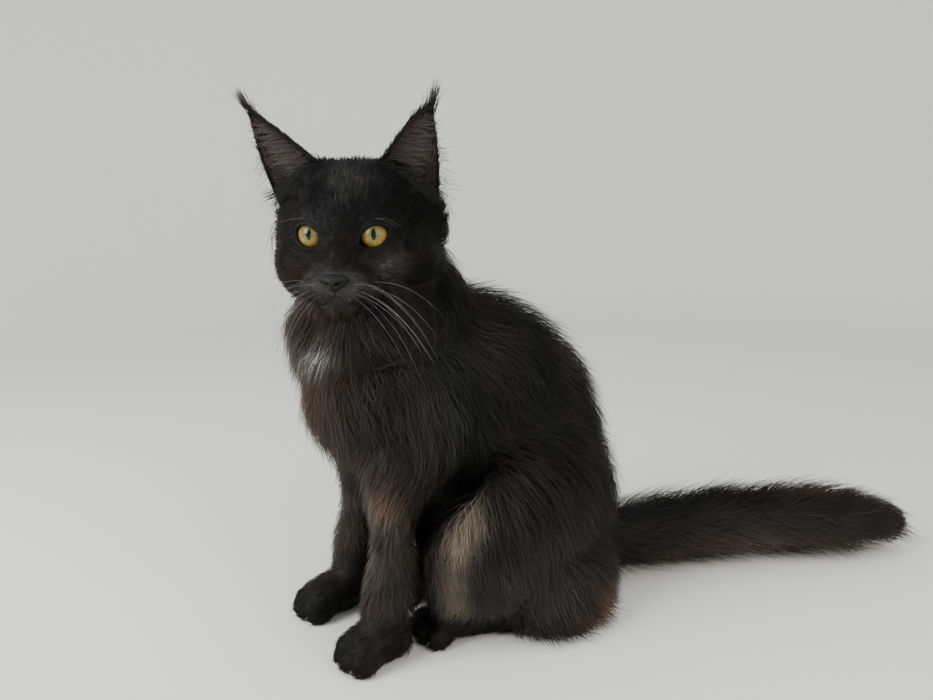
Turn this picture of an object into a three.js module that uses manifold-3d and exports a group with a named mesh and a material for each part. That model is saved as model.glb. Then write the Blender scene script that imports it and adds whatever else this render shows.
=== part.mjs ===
// A sitting Maine Coon cat with its head turned to its left, life size, in millimetres.
// +Z is up, the body faces -Y and +X is the cat's left side. The stations below are measured from the point
// on the floor midway between the forepaws; the whole cat is then moved so that its box stands centred on
// the origin.
import * as THREE from "three";
import { mergeVertices } from "three/addons/utils/BufferGeometryUtils.js";
import Module from "manifold-3d";

const wasm = await Module();
wasm.setup();
const { Manifold } = wasm;

// Driving dimensions
const GAP = 0.35; // left between touching pieces
const LOCK_GAP = 0.6; // left between a lock and another piece
const CHEEK_GAP = 1.8; // the same for the cheek's sharply bent locks
const SIDES = { left: 1, right: -1 };
const HEAD_AT = [6.8, 16.9, 307.5]; // middle of the skull
const HEAD_TURN = 54; // degrees, towards the cat's left
const HEAD_NOD = 4; // degrees, nose down
const EYE_RADIUS = 11.4;
const EYE_AT = [20.6, -34.5, 6.8]; // left eye, in the head's own frame
const LID_THICK = 1.6;
const EAR_THICK = 2.2;
const EAR_CUP = 15; // how deep the ear's cup is
const COAT_SEED = 7;

const vec = (x, y, z) => new THREE.Vector3(x, y, z);
const radians = THREE.MathUtils.degToRad;
const TURN = 2 * Math.PI;

// Solids from closed geometries, and back
function solidOf(geometry) {
  const bare = geometry.clone();
  bare.deleteAttribute("normal");
  bare.deleteAttribute("uv");
  const merged = mergeVertices(bare, 1e-4);
  return new Manifold(
    new wasm.Mesh({
      numProp: 3,
      vertProperties: merged.attributes.position.array,
      triVerts: new Uint32Array(merged.index.array),
    }),
  );
}

function geometryOf(solid) {
  const mesh = solid.getMesh();
  const points = new Float32Array(mesh.numVert * 3);
  for (let i = 0; i < mesh.numVert; i++) {
    points.set(mesh.vertProperties.subarray(i * mesh.numProp, i * mesh.numProp + 3), i * 3);
  }
  const geometry = new THREE.BufferGeometry();
  geometry.setAttribute("position", new THREE.BufferAttribute(points, 3));
  geometry.setIndex(new THREE.BufferAttribute(mesh.triVerts, 1));
  geometry.computeVertexNormals();
  return geometry;
}

// The largest closed surface of a solid, so that no loose scrap or sealed hollow stays
function largest(solid) {
  return solid.decompose().reduce((a, b) => (b.volume() > a.volume() ? b : a));
}

// Rings of points closed by a pole at each end; every ring has the same number of points
function ringsToSolid(first, rings, last) {
  const n = rings[0].length;
  const points = [first, ...rings.flat(), last];
  const faces = [];
  rings.forEach((_, i) => {
    for (let j = 0; j < n; j++) {
      const k = (j + 1) % n;
      const a = 1 + i * n + j;
      const b = 1 + i * n + k;
      if (i === 0) faces.push(0, b, a);
      if (i < rings.length - 1) faces.push(a, b, a + n, b, b + n, a + n);
      else faces.push(a, b, points.length - 1);
    }
  });
  const geometry = new THREE.BufferGeometry();
  geometry.setAttribute("position", new THREE.Float32BufferAttribute(points.flatMap((p) => p.toArray()), 3));
  geometry.setIndex(faces);
  const solid = solidOf(geometry);
  return solid.volume() > 0 ? solid : solidOf(geometry.setIndex(faces.reverse()));
}

// A limb or trunk carried along a smooth line through its stations. A station is
// [x, y, z, half width, half depth towards `reference`, half depth away from it].
class Limb {
  constructor(stations, reference, ends) {
    this.line = new THREE.CatmullRomCurve3(stations.map((s) => vec(s[0], s[1], s[2])), false, "centripetal");
    this.sizes = new THREE.CatmullRomCurve3(stations.map((s) => vec(s[3], s[4], s[5])), false, "centripetal");
    this.length = this.line.getLength();
    this.reference = vec(...reference);
    this.ends = ends;
    this.arcs = ends.map((end, i) => (Math.PI / 4) * (end + this.sizes.getPoint(i).x));
  }

  // The stop reached from t by going d along the surface
  travel(t, d) {
    const steps = 8;
    let place = t;
    for (let i = 0; i < steps; i++) {
      const scale = place < 0 ? this.arcs[0] : place > 1 ? this.arcs[1] : this.length;
      place = THREE.MathUtils.clamp(place + d / steps / scale, -0.97, 1.97);
    }
    return place;
  }

  // How far a way along the surface from t can go before it comes near the pole of that end
  room(t, flow) {
    const past = flow > 0 ? t - 1 : -t;
    const arc = this.arcs[flow > 0 ? 1 : 0];
    return past > 0 ? (0.85 - past) * arc : -past * this.length + 0.85 * arc;
  }

  frame(t) {
    const at = this.line.getPointAt(t);
    const along = this.line.getTangentAt(t);
    const out = this.reference.clone().addScaledVector(along, -this.reference.dot(along)).normalize();
    return { at, along, out, side: out.clone().cross(along) };
  }

  // Point of the surface at t along the line and angle a round it; below 0 and above 1 lie the rounded ends
  point(t, a, grow = 0) {
    const inside = THREE.MathUtils.clamp(t, 0, 1);
    const { at, along, out, side } = this.frame(inside);
    const size = this.sizes.getPoint(this.line.getUtoTmapping(inside));
    const past = (t - inside) * (Math.PI / 2);
    const reach = (past < 0 ? this.ends[0] : this.ends[1]) + grow;
    const narrow = Math.cos(past);
    const depth = (Math.sin(a) > 0 ? size.y : size.z) + grow;
    return at
      .addScaledVector(along, Math.sin(past) * reach)
      .addScaledVector(side, (size.x + grow) * Math.cos(a) * narrow)
      .addScaledVector(out, depth * Math.sin(a) * narrow);
  }

  normal(t, a) {
    const step = 0.01;
    const u = this.point(t, a + step).sub(this.point(t, a - step));
    const v = this.point(t + step, a).sub(this.point(t - step, a));
    return u.cross(v).normalize();
  }

  // Closed surface between two stops of the line; a stop past its end rounds that end, another cuts it flat
  solid(around, along, grow = 0, from = -1, to = 2) {
    const caps = [0.25, 0.5, 0.75];
    const start = Math.max(from, 0);
    const stop = Math.min(to, 1);
    const places = [];
    if (from < 0) places.push(...caps.map((c) => c - 1));
    for (let i = 0; i <= along; i++) places.push(start + ((stop - start) * i) / along);
    if (to > 1) places.push(...caps.map((c) => c + 1));
    const ring = (t) => Array.from({ length: around }, (_, j) => this.point(t, (j / around) * TURN, grow));
    const rings = places.map(ring);
    const flatEnd = (t, shift, points) => {
      const { at, along: way } = this.frame(t);
      points.forEach((p) => p.addScaledVector(way, shift));
      return at.addScaledVector(way, shift);
    };
    const first = from < 0 ? this.point(-1, 0, grow) : flatEnd(start, -grow, rings[0]);
    const last = to > 1 ? this.point(2, 0, grow) : flatEnd(stop, grow, rings[rings.length - 1]);
    return ringsToSolid(first, rings, last);
  }
}

// Repeatable draws, so that every lock differs a little and always in the same way
function draws(seed) {
  let state = seed;
  return (low, high) => {
    state = (Math.imul(state, 1664525) + 1013904223) >>> 0;
    return low + ((high - low) * state) / 2 ** 32;
  };
}

// A flat, tapered lock of hair along path(s), which leaves the surface at s = 0: flat below, with a low ridge
// above, widest in its first half and pointed at its tip, its root sunk in the body
const LOCK_STOPS = [-0.16, 0.25, 0.68];
const LOCK_WIDTHS = [0.8, 1, 0.66];
const LOCK_DEPTHS = [0.9, 1, 0.75];

function lock({ path, outward, width, thick, roll }, grow) {
  const rings = LOCK_STOPS.map((s, i) => {
    const at = path(s);
    const along = path(s + 0.06).sub(path(s - 0.06)).normalize();
    const side = along.clone().cross(outward).normalize().applyAxisAngle(along, roll);
    const up = side.clone().cross(along);
    const depth = thick * LOCK_DEPTHS[i];
    const w = (width / 2) * LOCK_WIDTHS[i] * (1 + (2 * grow) / depth);
    const low = at.addScaledVector(up, -depth / 3 - grow);
    return [
      low.clone().addScaledVector(side, w),
      low.clone().addScaledVector(up, depth + 2.2 * grow),
      low.clone().addScaledVector(side, -w),
    ];
  });
  const toRoot = path(LOCK_STOPS[0]).sub(path(0)).normalize();
  const toTip = path(1).sub(path(0.9)).normalize();
  const root = path(LOCK_STOPS[0]).addScaledVector(toRoot, 1 + grow);
  return ringsToSolid(root, rings, path(1).addScaledVector(toTip, 8 * grow));
}

// Rows of locks that lie along a limb, shingled from its far end; `flow` is 1 along its line or -1 against
// it. Each row is [t, first angle, last angle, count, length, width, rise of the tips, fall of the tips].
function coat(limb, rows, flow, seed) {
  const draw = draws(seed);
  const locks = [];
  for (const [t, low, high, count, length, width, rise, fall] of rows) {
    const shift = draw(0, 1);
    for (let i = 0; i < count; i++) {
      const a = low + ((high - low) * (i + shift)) / count;
      const tip = rise * (i % 2 ? 1.12 : 0.86) * draw(0.93, 1.07);
      const swerve = draw(-0.12, 0.12);
      const start = limb.travel(t, draw(-0.25, 0.25) * width);
      const long = Math.min(length * draw(0.82, 1.18), limb.room(start, flow));
      const outward = limb.normal(start, a);
      const path = (s) => {
        const place = limb.travel(start, flow * s * long);
        const lift = s < 0 ? s * 40 : tip * s * (1.5 - 0.5 * s);
        return limb
          .point(place, a + swerve * s * s)
          .addScaledVector(limb.normal(place, a + swerve * s * s), lift)
          .add(vec(0, 0, -fall * s * s));
      };
      locks.push({ path, outward, width: width * draw(0.9, 1.1), thick: width * 0.2, roll: draw(-0.12, 0.12) });
    }
  }
  return locks;
}

const fleece = (locks, grow) => Manifold.union(locks.map((l) => lock(l, grow)));

// Head: a smooth blend of ellipsoids in the head's own frame, [x, y, z, half sizes x, y, z, blend];
// the left one of a pair is given and mirrored
const SKULL = [0, 6, 11, 52, 53, 46, 0];
const HEAD_FORMS = [
  [25, 2, 38, 21, 26, 18.5, 10], // crown beside the ear
  [44, 12, 10, 22, 24, 30, 14], // side hair
  [0, -20, -2, 39, 32, 34, 10], // face
  [32, -3, -14, 29, 33, 29, 12], // cheek
  [18, -32, 19, 15, 11, 8, 8], // brow
  [0, -43, -6, 11.5, 21, 13.5, 8], // bridge of the nose
  [0, -46, -25, 26, 20, 15.5, 8], // muzzle
  [14, -55, -27.5, 14.5, 11, 10, 5], // whisker pad
  [0, -52, -39, 13, 11, 8, 5], // chin
  [0, -26, -33, 30, 28, 16, 10], // lower jaw
];
const HEAD_CENTRE = vec(0, -14, -6);
const MUZZLE_AXIS = vec(0, -1, -0.38).normalize();
const HEAD_AROUND = 26;
const HEAD_ROWS = 18;

function ellipsoidDistance(p, [x, y, z, a, b, c]) {
  const k = Math.hypot((p.x - x) / a, (p.y - y) / b, (p.z - z) / c);
  const g = Math.hypot((p.x - x) / (a * a), (p.y - y) / (b * b), (p.z - z) / (c * c));
  return k < 1e-6 ? -Math.min(a, b, c) : (k * (k - 1)) / g;
}

function blend(a, b, k) {
  const h = Math.max(k - Math.abs(a - b), 0) / k;
  return Math.min(a, b) - (h * h * k) / 4;
}

function headDistance(p) {
  let d = ellipsoidDistance(p, SKULL);
  for (const form of HEAD_FORMS) {
    for (const side of form[0] === 0 ? [1] : [1, -1]) {
      d = blend(d, ellipsoidDistance(p, [form[0] * side, ...form.slice(1)]), form[6]);
    }
  }
  return d;
}

// Where a ray from the head's centre leaves the blend
function headPoint(ray) {
  let r = 110;
  for (let i = 0; i < 80; i++) {
    const d = headDistance(HEAD_CENTRE.clone().addScaledVector(ray, r));
    if (d < 0.01) break;
    r -= 0.7 * d;
  }
  return r;
}

// The blended head as rings about the muzzle's axis, closer together at the face
function headSolid(grow) {
  const across = vec(1, 0, 0);
  const upward = across.clone().cross(MUZZLE_AXIS);
  const place = (angle, turn) => {
    const ray = MUZZLE_AXIS.clone()
      .multiplyScalar(Math.cos(angle))
      .addScaledVector(across, Math.sin(angle) * Math.cos(turn))
      .addScaledVector(upward, Math.sin(angle) * Math.sin(turn));
    return HEAD_CENTRE.clone().addScaledVector(ray, headPoint(ray) + 1.6 * grow);
  };
  const rings = [];
  for (let i = 1; i < HEAD_ROWS; i++) {
    const angle = Math.PI * (i / HEAD_ROWS) ** 1.2;
    rings.push(Array.from({ length: HEAD_AROUND }, (_, j) => place(angle, (j / HEAD_AROUND) * TURN)));
  }
  return ringsToSolid(place(0, 0), rings, place(Math.PI, 0));
}

const headMatrix = new THREE.Matrix4()
  .makeTranslation(...HEAD_AT)
  .multiply(new THREE.Matrix4().makeRotationZ(radians(HEAD_TURN)))
  .multiply(new THREE.Matrix4().makeRotationX(radians(HEAD_NOD)));
const onHead = (solid) => solid.transform(headMatrix.elements);

function ball(radius, at, scale, columns, rows) {
  const geometry = new THREE.SphereGeometry(radius, columns, rows);
  geometry.scale(...scale).translate(...at);
  return solidOf(geometry);
}

const eyePlace = (side) => [EYE_AT[0] * side, EYE_AT[1], EYE_AT[2]];
const eye = (side, grow) => ball(EYE_RADIUS + grow, eyePlace(side), [1, 1, 1], 11, 7);

// The almond-shaped opening between the lids, cut along the way the eye looks
const LID_OPENING = { halfWidth: 10.2, upper: 7.4, lower: 7.6, slant: 27, outward: 10 };

function lidOpening(side) {
  const { halfWidth, upper, lower, slant, outward } = LID_OPENING;
  const shape = new THREE.Shape();
  shape.moveTo(-halfWidth, 0);
  shape.bezierCurveTo(-halfWidth * 0.62, upper * 1.15, halfWidth * 0.55, upper * 1.45, halfWidth, 0);
  shape.bezierCurveTo(halfWidth * 0.75, -lower * 1.3, -halfWidth * 0.5, -lower * 1.35, -halfWidth, 0);
  const outline = shape.getPoints(5).map((p) => new THREE.Vector2(p.x * side, p.y));
  const geometry = new THREE.ExtrudeGeometry(new THREE.Shape(outline), { depth: 26, bevelEnabled: false });
  geometry.rotateZ(radians(slant * side));
  geometry.rotateX(radians(90));
  geometry.rotateZ(radians(outward * side));
  geometry.translate(...eyePlace(side));
  return solidOf(geometry);
}

// Nose leather: wide above, narrow below, with its two nostrils
const NOSE = { at: [0, -65, -21.2], halfWidth: 11.2, halfDepth: 6, halfHeight: 5.5, lean: 20 };

function nose(grow) {
  const geometry = new THREE.SphereGeometry(1, 10, 6);
  const place = geometry.getAttribute("position");
  for (let i = 0; i < place.count; i++) {
    const widen = 0.6 + 0.42 * place.getZ(i);
    place.setX(i, place.getX(i) * (NOSE.halfWidth * widen + grow));
    place.setY(i, place.getY(i) * (NOSE.halfDepth + grow));
    place.setZ(i, place.getZ(i) * (NOSE.halfHeight + grow));
  }
  geometry.rotateX(radians(-NOSE.lean));
  geometry.translate(...NOSE.at);
  const solid = solidOf(geometry);
  if (grow) return solid;
  const nostril = (side) => ball(1.7, [4.4 * side, NOSE.at[1] - 5.2, NOSE.at[2] - 1.4], [1.3, 1.2, 0.75], 8, 6);
  return solid.subtract(nostril(1)).subtract(nostril(-1));
}

// The line of the mouth and the groove under the nose, each a thin sheet cut into the muzzle
const MOUTH = { width: 0.7, halfSpan: 18, height: -33.5, bow: 3.2, bows: 20.7, steps: 8, depth: 42, back: -38 };
const GROOVE = { deep: 20, tall: 8, below: 6.3 };

function mouthLine() {
  const line = (x) => MOUTH.height + MOUTH.bow * Math.cos((TURN * Math.abs(x)) / MOUTH.bows);
  const stops = Array.from({ length: MOUTH.steps + 1 }, (_, i) => MOUTH.halfSpan * ((2 * i) / MOUTH.steps - 1));
  const above = stops.map((x) => new THREE.Vector2(x, line(x) + MOUTH.width / 2));
  const below = stops.map((x) => new THREE.Vector2(x, line(x) - MOUTH.width / 2)).reverse();
  const mouth = new THREE.ExtrudeGeometry(new THREE.Shape([...above, ...below]), {
    depth: MOUTH.depth,
    bevelEnabled: false,
  });
  mouth.rotateX(radians(90));
  mouth.translate(0, MOUTH.back, 0);
  const groove = new THREE.BoxGeometry(MOUTH.width, GROOVE.deep, GROOVE.tall);
  groove.translate(0, NOSE.at[1] - 5.5, NOSE.at[2] - GROOVE.below);
  return solidOf(mouth).add(solidOf(groove));
}

// Short locks of the cheek ruff, below and behind the jaw, [ray x, y, z, length]
const CHEEK_LOCKS = [
  [0.95, 0.1, -0.1, 34],
  [0.86, -0.1, -0.42, 34],
  [0.66, 0.1, -0.66, 30],
];

function cheekLocks() {
  const draw = draws(COAT_SEED + 11);
  return Object.values(SIDES).flatMap((side) =>
    CHEEK_LOCKS.map(([x, y, z, length]) => {
      const ray = vec(x * side, y, z).normalize();
      const root = HEAD_CENTRE.clone().addScaledVector(ray, headPoint(ray));
      const lie = vec(0.35 * side, 0.55, -0.75).normalize();
      const curl = draw(2, 6);
      const path = (s) =>
        root
          .clone()
          .addScaledVector(lie, length * s)
          .addScaledVector(ray, s < 0 ? 30 * s : 3 * s - 0.5)
          .add(vec(-curl * side * s * s, 0, -2 * s * s));
      return { path, outward: ray, width: draw(13, 16), thick: 3.6, roll: draw(-0.3, 0.3) };
    }),
  );
}

function head(grow) {
  const bare = headSolid(grow);
  if (grow) return onHead(bare.add(fleece(cheekLocks(), CHEEK_GAP)));
  const lids = [1, -1].map((side) => ball(EYE_RADIUS + LID_THICK, eyePlace(side), [1, 1, 1], 12, 8));
  const openings = Manifold.union([lidOpening(1), lidOpening(-1), mouthLine()]);
  return onHead(Manifold.union([bare, ...lids]).subtract(openings).add(fleece(cheekLocks(), 0)));
}

// Ears: a cup between an inner edge, an outer edge and the tip, in the head's frame, with a lock at the tip
// and longer hair inside the inner edge
const EARS = {
  left: { inner: [17.5, -10, 50.5], outer: [57.5, 12, 25], tip: [57.5, -6, 89.5] },
  right: { inner: [-19, -10, 50.5], outer: [-60.5, 12, 25], tip: [-72.5, -6, 90.5] },
};

function ear({ inner, outer, tip }, side, grow) {
  const [a, b, c] = [vec(...inner), vec(...outer), vec(...tip)];
  const span = b.clone().sub(a);
  const rise = c.clone().sub(a.clone().add(b).multiplyScalar(0.5));
  const back = span.clone().cross(rise).normalize();
  if (back.y < 0) back.negate();
  const rows = 8;
  const half = 5;
  const place = (u, v, lift) => {
    const bulge = 0.05 * Math.sin(Math.PI * Math.min(v, 1));
    const low = a.clone().lerp(c, v).addScaledVector(span, -bulge * 0.55);
    const high = b.clone().lerp(c, v).addScaledVector(span, bulge);
    const depth = EAR_CUP * (1 - Math.min(v, 1)) ** 0.8;
    return low.lerp(high, (u + 1) / 2).addScaledVector(back, depth * (1 - u * u) + lift);
  };
  const rings = Array.from({ length: rows }, (_, i) => {
    const v = -0.12 + (1.09 * i) / (rows - 1);
    const wall = EAR_THICK * (1 - 0.45 * v) + 2 * grow;
    const stops = Array.from({ length: half + 1 }, (_, k) => 1 - (2 * k) / half);
    return [...stops.map((u) => place(u, v, wall / 2)), ...stops.reverse().map((u) => place(u, v, -wall / 2))];
  });
  const middle = rings[0].reduce((sum, p) => sum.add(p), vec(0, 0, 0)).multiplyScalar(1 / rings[0].length);
  const cup = ringsToSolid(middle, rings, c.clone().addScaledVector(rise, 0.01 + grow / 50));
  const draw = draws(COAT_SEED + (side > 0 ? 3 : 5));
  const straight = (from, way, length, width, bend) => ({
    path: (s) => from.clone().addScaledVector(way, length * s).addScaledVector(span, bend * s * s),
    outward: back.clone().negate(),
    width,
    thick: width * 0.4,
    roll: 0,
  });
  const locks = [straight(place(0, 0.93, 0), rise.clone().normalize(), 19, 4.5, -0.06)];
  for (let i = 0; i < 3; i++) {
    const from = place(-0.86, 0.08 + 0.18 * i, -1);
    const way = span.clone().normalize().multiplyScalar(0.45).addScaledVector(rise.clone().normalize(), 0.8);
    way.addScaledVector(back, -0.3).normalize();
    locks.push(straight(from, way, draw(21, 26) * (1 - 0.12 * i), draw(5, 6.5), 0.1));
  }
  return onHead(cup.add(fleece(locks, grow)));
}

// Trunk, from the rump over the back to the breast; the coat lies from the breast back to the rump
const trunk = new Limb(
  [
    [0, 194, 50, 48, 36, 38],
    [0, 178, 92, 62, 57, 50],
    [0, 148, 136, 66, 88, 62],
    [0, 107, 166, 61, 99, 60],
    [0, 66, 184, 56, 85, 58],
    [0, 26, 196, 54, 62, 54],
  ],
  [0, 0.7, 0.7],
  [34, 40],
);
const above = (angle) => [angle, Math.PI - angle];
const trunkCoat = coat(
  trunk,
  [
    [0.03, ...above(0.7), 4, 48, 30, 13, 4],
    [0.18, ...above(0.55), 5, 52, 31, 16, 6],
    [0.34, ...above(0.35), 6, 56, 32, 18, 6],
    [0.5, ...above(0.1), 7, 56, 34, 18, 6],
    [0.66, ...above(-0.35), 9, 54, 33, 17, 5],
    [0.82, ...above(0), 6, 50, 30, 14, 5],
  ],
  -1,
  COAT_SEED,
);

// Neck, and the mantle that its ruff follows down over the shoulders
const NECK = [
  [0, 44, 198, 46, 52, 52],
  [0, 38, 232, 48, 51, 55],
  [3, 30, 264, 50, 55, 55],
  [6, 23, 297, 48, 52, 48],
];
const neck = new Limb(NECK, [0, 1, 0], [10, 20]);
const mantle = new Limb([[0, 56, 120, 72, 72, 62], ...NECK], [0, 1, 0], [10, 20]);
const BREAST = [-2.35, -0.75];
const bib = coat(
  mantle,
  [
    [0.51, ...BREAST, 5, 58, 30, 18, 6],
    [0.35, ...BREAST, 4, 50, 29, 15, 6],
  ],
  -1,
  COAT_SEED + 2,
);
const ruff = coat(
  mantle,
  [
    [0.48, 0, TURN, 10, 54, 32, 16, 6],
    [0.64, 0, TURN, 9, 54, 33, 18, 6],
    [0.79, 0, TURN, 9, 50, 32, 18, 6],
    [0.91, 0, TURN, 8, 42, 28, 11, 5],
  ],
  -1,
  COAT_SEED + 1,
);

// Legs, given for the cat's left side and mirrored for its right
const placed = (stations, side, inward = 0, back = 0) =>
  stations.map(([x, y, ...rest]) => [x * side + inward, y + back, ...rest]);
const FORELEG = [
  [43, 48, 198, 26, 40, 40],
  [47, 46, 168, 27, 30, 34],
  [48, 31, 141, 22, 21, 26],
  [48, 24, 118, 19.5, 16, 19],
  [48, 22, 96, 19, 15, 15],
  [49, 21, 70, 20.5, 20, 19],
  [49, 17, 50, 20.5, 21, 19],
  [48, 13, 31, 17.5, 18, 16],
];
const FOREPAW = [
  [48, 28, 18, 17, 15, 18],
  [47, 18, 19, 19, 16, 21],
  [47, 5, 16, 21, 16, 17],
  [47, -5, 14, 21, 14, 15],
];
const THIGH = [
  [44, 204, 84, 26, 50, 38],
  [54, 168, 94, 31, 64, 68],
  [62, 128, 92, 33, 62, 72],
  [68, 96, 80, 30, 54, 60],
  [70, 72, 64, 24, 42, 46],
  [66, 60, 48, 19, 28, 32],
];
const BRITCH = [
  [53, 205, 27, 20, 32, 28],
  [66, 178, 29, 26, 40, 30],
  [73, 150, 27, 26, 40, 28],
  [68, 122, 22, 19, 28, 23],
];
const HINDFOOT = [
  [56, 130, 18, 17, 22, 19],
  [53, 102, 18, 19, 21, 19],
  [48, 78, 17, 21, 20, 18],
  [44, 62, 15, 21, 17, 16],
];
// How far the right feet stand from where the left ones' mirror images would: inwards, and backwards
const STEPS = {
  left: { inward: 0, leg: 0, paw: 0, foot: 0 },
  right: { inward: 10, leg: 9, paw: -9, foot: 16 },
};
const TOE = { width: 6.6, depth: 11.5, height: 10, apart: 10.4, setBack: 5, lift: 8.8 };
const FORE_TOES = [47, -12.5];
const HIND_TOES = [43, 51];

function toes(x, y) {
  const places = [-1.5, -0.5, 0.5, 1.5];
  const toe = (k) => {
    const back = Math.abs(k) > 1 ? TOE.setBack : 0;
    return ball(1, [x + k * TOE.apart, y + back, TOE.lift], [TOE.width, TOE.depth, TOE.height], 6, 4);
  };
  return Manifold.union(places.map(toe));
}

const legs = Object.entries(SIDES).map(([name, side]) => {
  const step = STEPS[name];
  const outer = side > 0 ? [-1.25, 1.45] : [Math.PI - 1.45, Math.PI + 1.25];
  const rear = side > 0 ? [0.5, 2.2] : [Math.PI - 2.2, Math.PI - 0.5];
  const foreleg = new Limb(placed(FORELEG, side, step.inward, step.leg), [0, 1, 0], [20, 10]);
  const thigh = new Limb(placed(THIGH, side), [0, 0, 1], [16, 13]);
  const britch = new Limb(placed(BRITCH, side), [0, 0, 1], [13, 14]);
  return {
    name,
    side,
    step,
    foreleg,
    thigh,
    britch,
    forepaw: new Limb(placed(FOREPAW, side, step.inward, step.paw), [0, 0, 1], [8, 10]),
    hindfoot: new Limb(placed(HINDFOOT, side, step.foot), [0, 0, 1], [14, 8]),
    feather: coat(
      foreleg,
      [
        [0.14, ...rear, 2, 38, 18, 10, 0],
        [0.4, ...rear, 2, 34, 15, 9, 0],
      ],
      1,
      COAT_SEED + 20 + side,
    ),
    britches: [
      ...coat(
        thigh,
        [
          [0.12, ...outer, 3, 48, 32, 11, 12],
          [0.4, ...outer, 4, 52, 32, 10, 14],
          [0.68, ...outer, 3, 48, 30, 8, 14],
        ],
        -1,
        COAT_SEED + 30 + side,
      ),
      ...coat(
        britch,
        [
          [0.25, ...outer, 2, 34, 26, 8, 6],
          [0.75, ...outer, 2, 36, 26, 8, 8],
        ],
        -1,
        COAT_SEED + 50 + side,
      ),
    ],
  };
});

// Tail, in three lengths of one line that lies along the floor
const TAIL_CUTS = [0.33, 0.67];
const tail = new Limb(
  [
    [0, 205, 44, 25, 25, 26],
    [25, 246, 37, 25, 25, 26],
    [36, 300, 35, 24, 25, 27],
    [57, 365, 35, 24, 25, 27],
    [89, 440, 35, 25, 25, 27],
    [111, 490, 33, 23, 22, 25],
    [126, 521, 30, 17, 16, 19],
  ],
  [0, 0, 1],
  [10, 14],
);
const tailRow = (t, rise) => [t, 0, TURN, 5, 60, 33, rise, 2];
const tailCoats = [
  [tailRow(0.24, 13), tailRow(0.1, 13)],
  [tailRow(0.57, 14), tailRow(0.42, 14)],
  [[1.15, 0, TURN, 3, 34, 20, 7, 2], tailRow(0.93, 11), tailRow(0.76, 14)],
].map((rows, i) => coat(tail, rows, 1, COAT_SEED + 40 + i));

// Every node: its core, grown all round by g, and its locks, if it has any. It is cut clear of the nodes in
// `clear` and of the cores of those in `on`, whose locks are cut clear of it in turn.
const shapes = {
  eye_left: { core: (g) => onHead(eye(1, g)) },
  eye_right: { core: (g) => onHead(eye(-1, g)) },
  nose: { core: (g) => onHead(nose(g)) },
  head: { core: head, clear: ["eye_left", "eye_right", "nose"] },
  neck: {
    core: (g) => neck.solid(16, 4, g),
    locks: ruff,
    clear: ["head", "ear_left", "ear_right"],
    on: ["torso", "foreleg_left", "foreleg_right"],
  },
  torso: {
    core: (g) => trunk.solid(16, 7, g),
    locks: [...trunkCoat, ...bib],
    clear: ["head", "hindfoot_left", "hindfoot_right"],
  },
  tail_base: { core: (g) => tail.solid(8, 4, g, -1, TAIL_CUTS[0]), locks: tailCoats[0], on: ["torso"] },
  tail_middle: { core: (g) => tail.solid(8, 4, g, ...TAIL_CUTS), locks: tailCoats[1], clear: ["tail_base"] },
  tail_tip: { core: (g) => tail.solid(8, 4, g, TAIL_CUTS[1], 2), locks: tailCoats[2], clear: ["tail_middle"] },
};
for (const { name, side, step, foreleg, thigh, britch, forepaw, hindfoot, feather, britches } of legs) {
  shapes["ear_" + name] = { core: (g) => ear(EARS[name], side, g), clear: ["head"] };
  shapes["forepaw_" + name] = {
    core: (g) => forepaw.solid(9, 3, g).add(toes(FORE_TOES[0] * side + step.inward, FORE_TOES[1] + step.paw)),
  };
  shapes["foreleg_" + name] = {
    core: (g) => foreleg.solid(10, 6, g),
    locks: feather,
    clear: ["forepaw_" + name],
    on: ["torso"],
  };
  shapes["hindfoot_" + name] = {
    core: (g) => hindfoot.solid(9, 3, g).add(toes(HIND_TOES[0] * side + step.foot, HIND_TOES[1])),
    clear: ["foreleg_" + name, "forepaw_" + name],
  };
  shapes["thigh_" + name] = {
    core: (g) => thigh.solid(14, 6, g).add(britch.solid(10, 3, g)),
    locks: britches,
    clear: ["hindfoot_" + name, "foreleg_" + name],
    on: ["torso", "tail_base"],
  };
}

function whole(name) {
  const { core, locks } = shapes[name];
  return locks ? core(GAP).add(fleece(locks, LOCK_GAP)) : core(GAP);
}

function finished(name) {
  const { core, locks, clear = [], on = [] } = shapes[name];
  const above = Object.keys(shapes).filter((other) => shapes[other].on?.includes(name));
  const cut = (solid, others) => others.reduce((left, other) => left.subtract(other), solid);
  const beside = [...clear.map(whole), ...on.map((other) => shapes[other].core(GAP))];
  const body = cut(core(0), beside);
  return locks ? body.add(cut(fleece(locks, 0), [...beside, ...above.map(whole)])) : body;
}

// Colours, [colour, roughness], by the start of a node's name
const LOOKS = {
  eye: [0x8fae5c, 0.15],
  nose: [0x15110f, 0.45],
  tail: [0x241b16, 0.75],
  thigh: [0x201814, 0.7],
  "": [0x1b1613, 0.7],
};

function material(name) {
  const [color, roughness] = LOOKS[Object.keys(LOOKS).find((start) => name.startsWith(start))];
  return new THREE.MeshStandardMaterial({ color, roughness, metalness: 0 });
}

// The head's nodes hang in a group that turns them on the neck; the others stand in the cat's own frame
const headGroup = new THREE.Group();
headGroup.position.set(...HEAD_AT);
headGroup.rotation.set(radians(HEAD_NOD), 0, radians(HEAD_TURN), "ZXY");
const fromHead = headMatrix.clone().invert();
const cat = new THREE.Group();
cat.add(headGroup);
for (const name of Object.keys(shapes)) {
  const geometry = geometryOf(largest(finished(name).trimByPlane([0, 0, 1], 0)));
  const mesh = new THREE.Mesh(geometry, material(name));
  mesh.name = name;
  if (/^(head|nose|eye|ear)/.test(name)) {
    geometry.applyMatrix4(fromHead);
    headGroup.add(mesh);
  } else {
    cat.add(mesh);
  }
}

// Origin at the middle of the underside of the cat's box
const box = new THREE.Box3().setFromObject(cat, true);
cat.position.set(-(box.min.x + box.max.x) / 2, -(box.min.y + box.max.y) / 2, -box.min.z);

export default cat;
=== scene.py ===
import bpy
import numpy as np
from mathutils import Matrix


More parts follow.
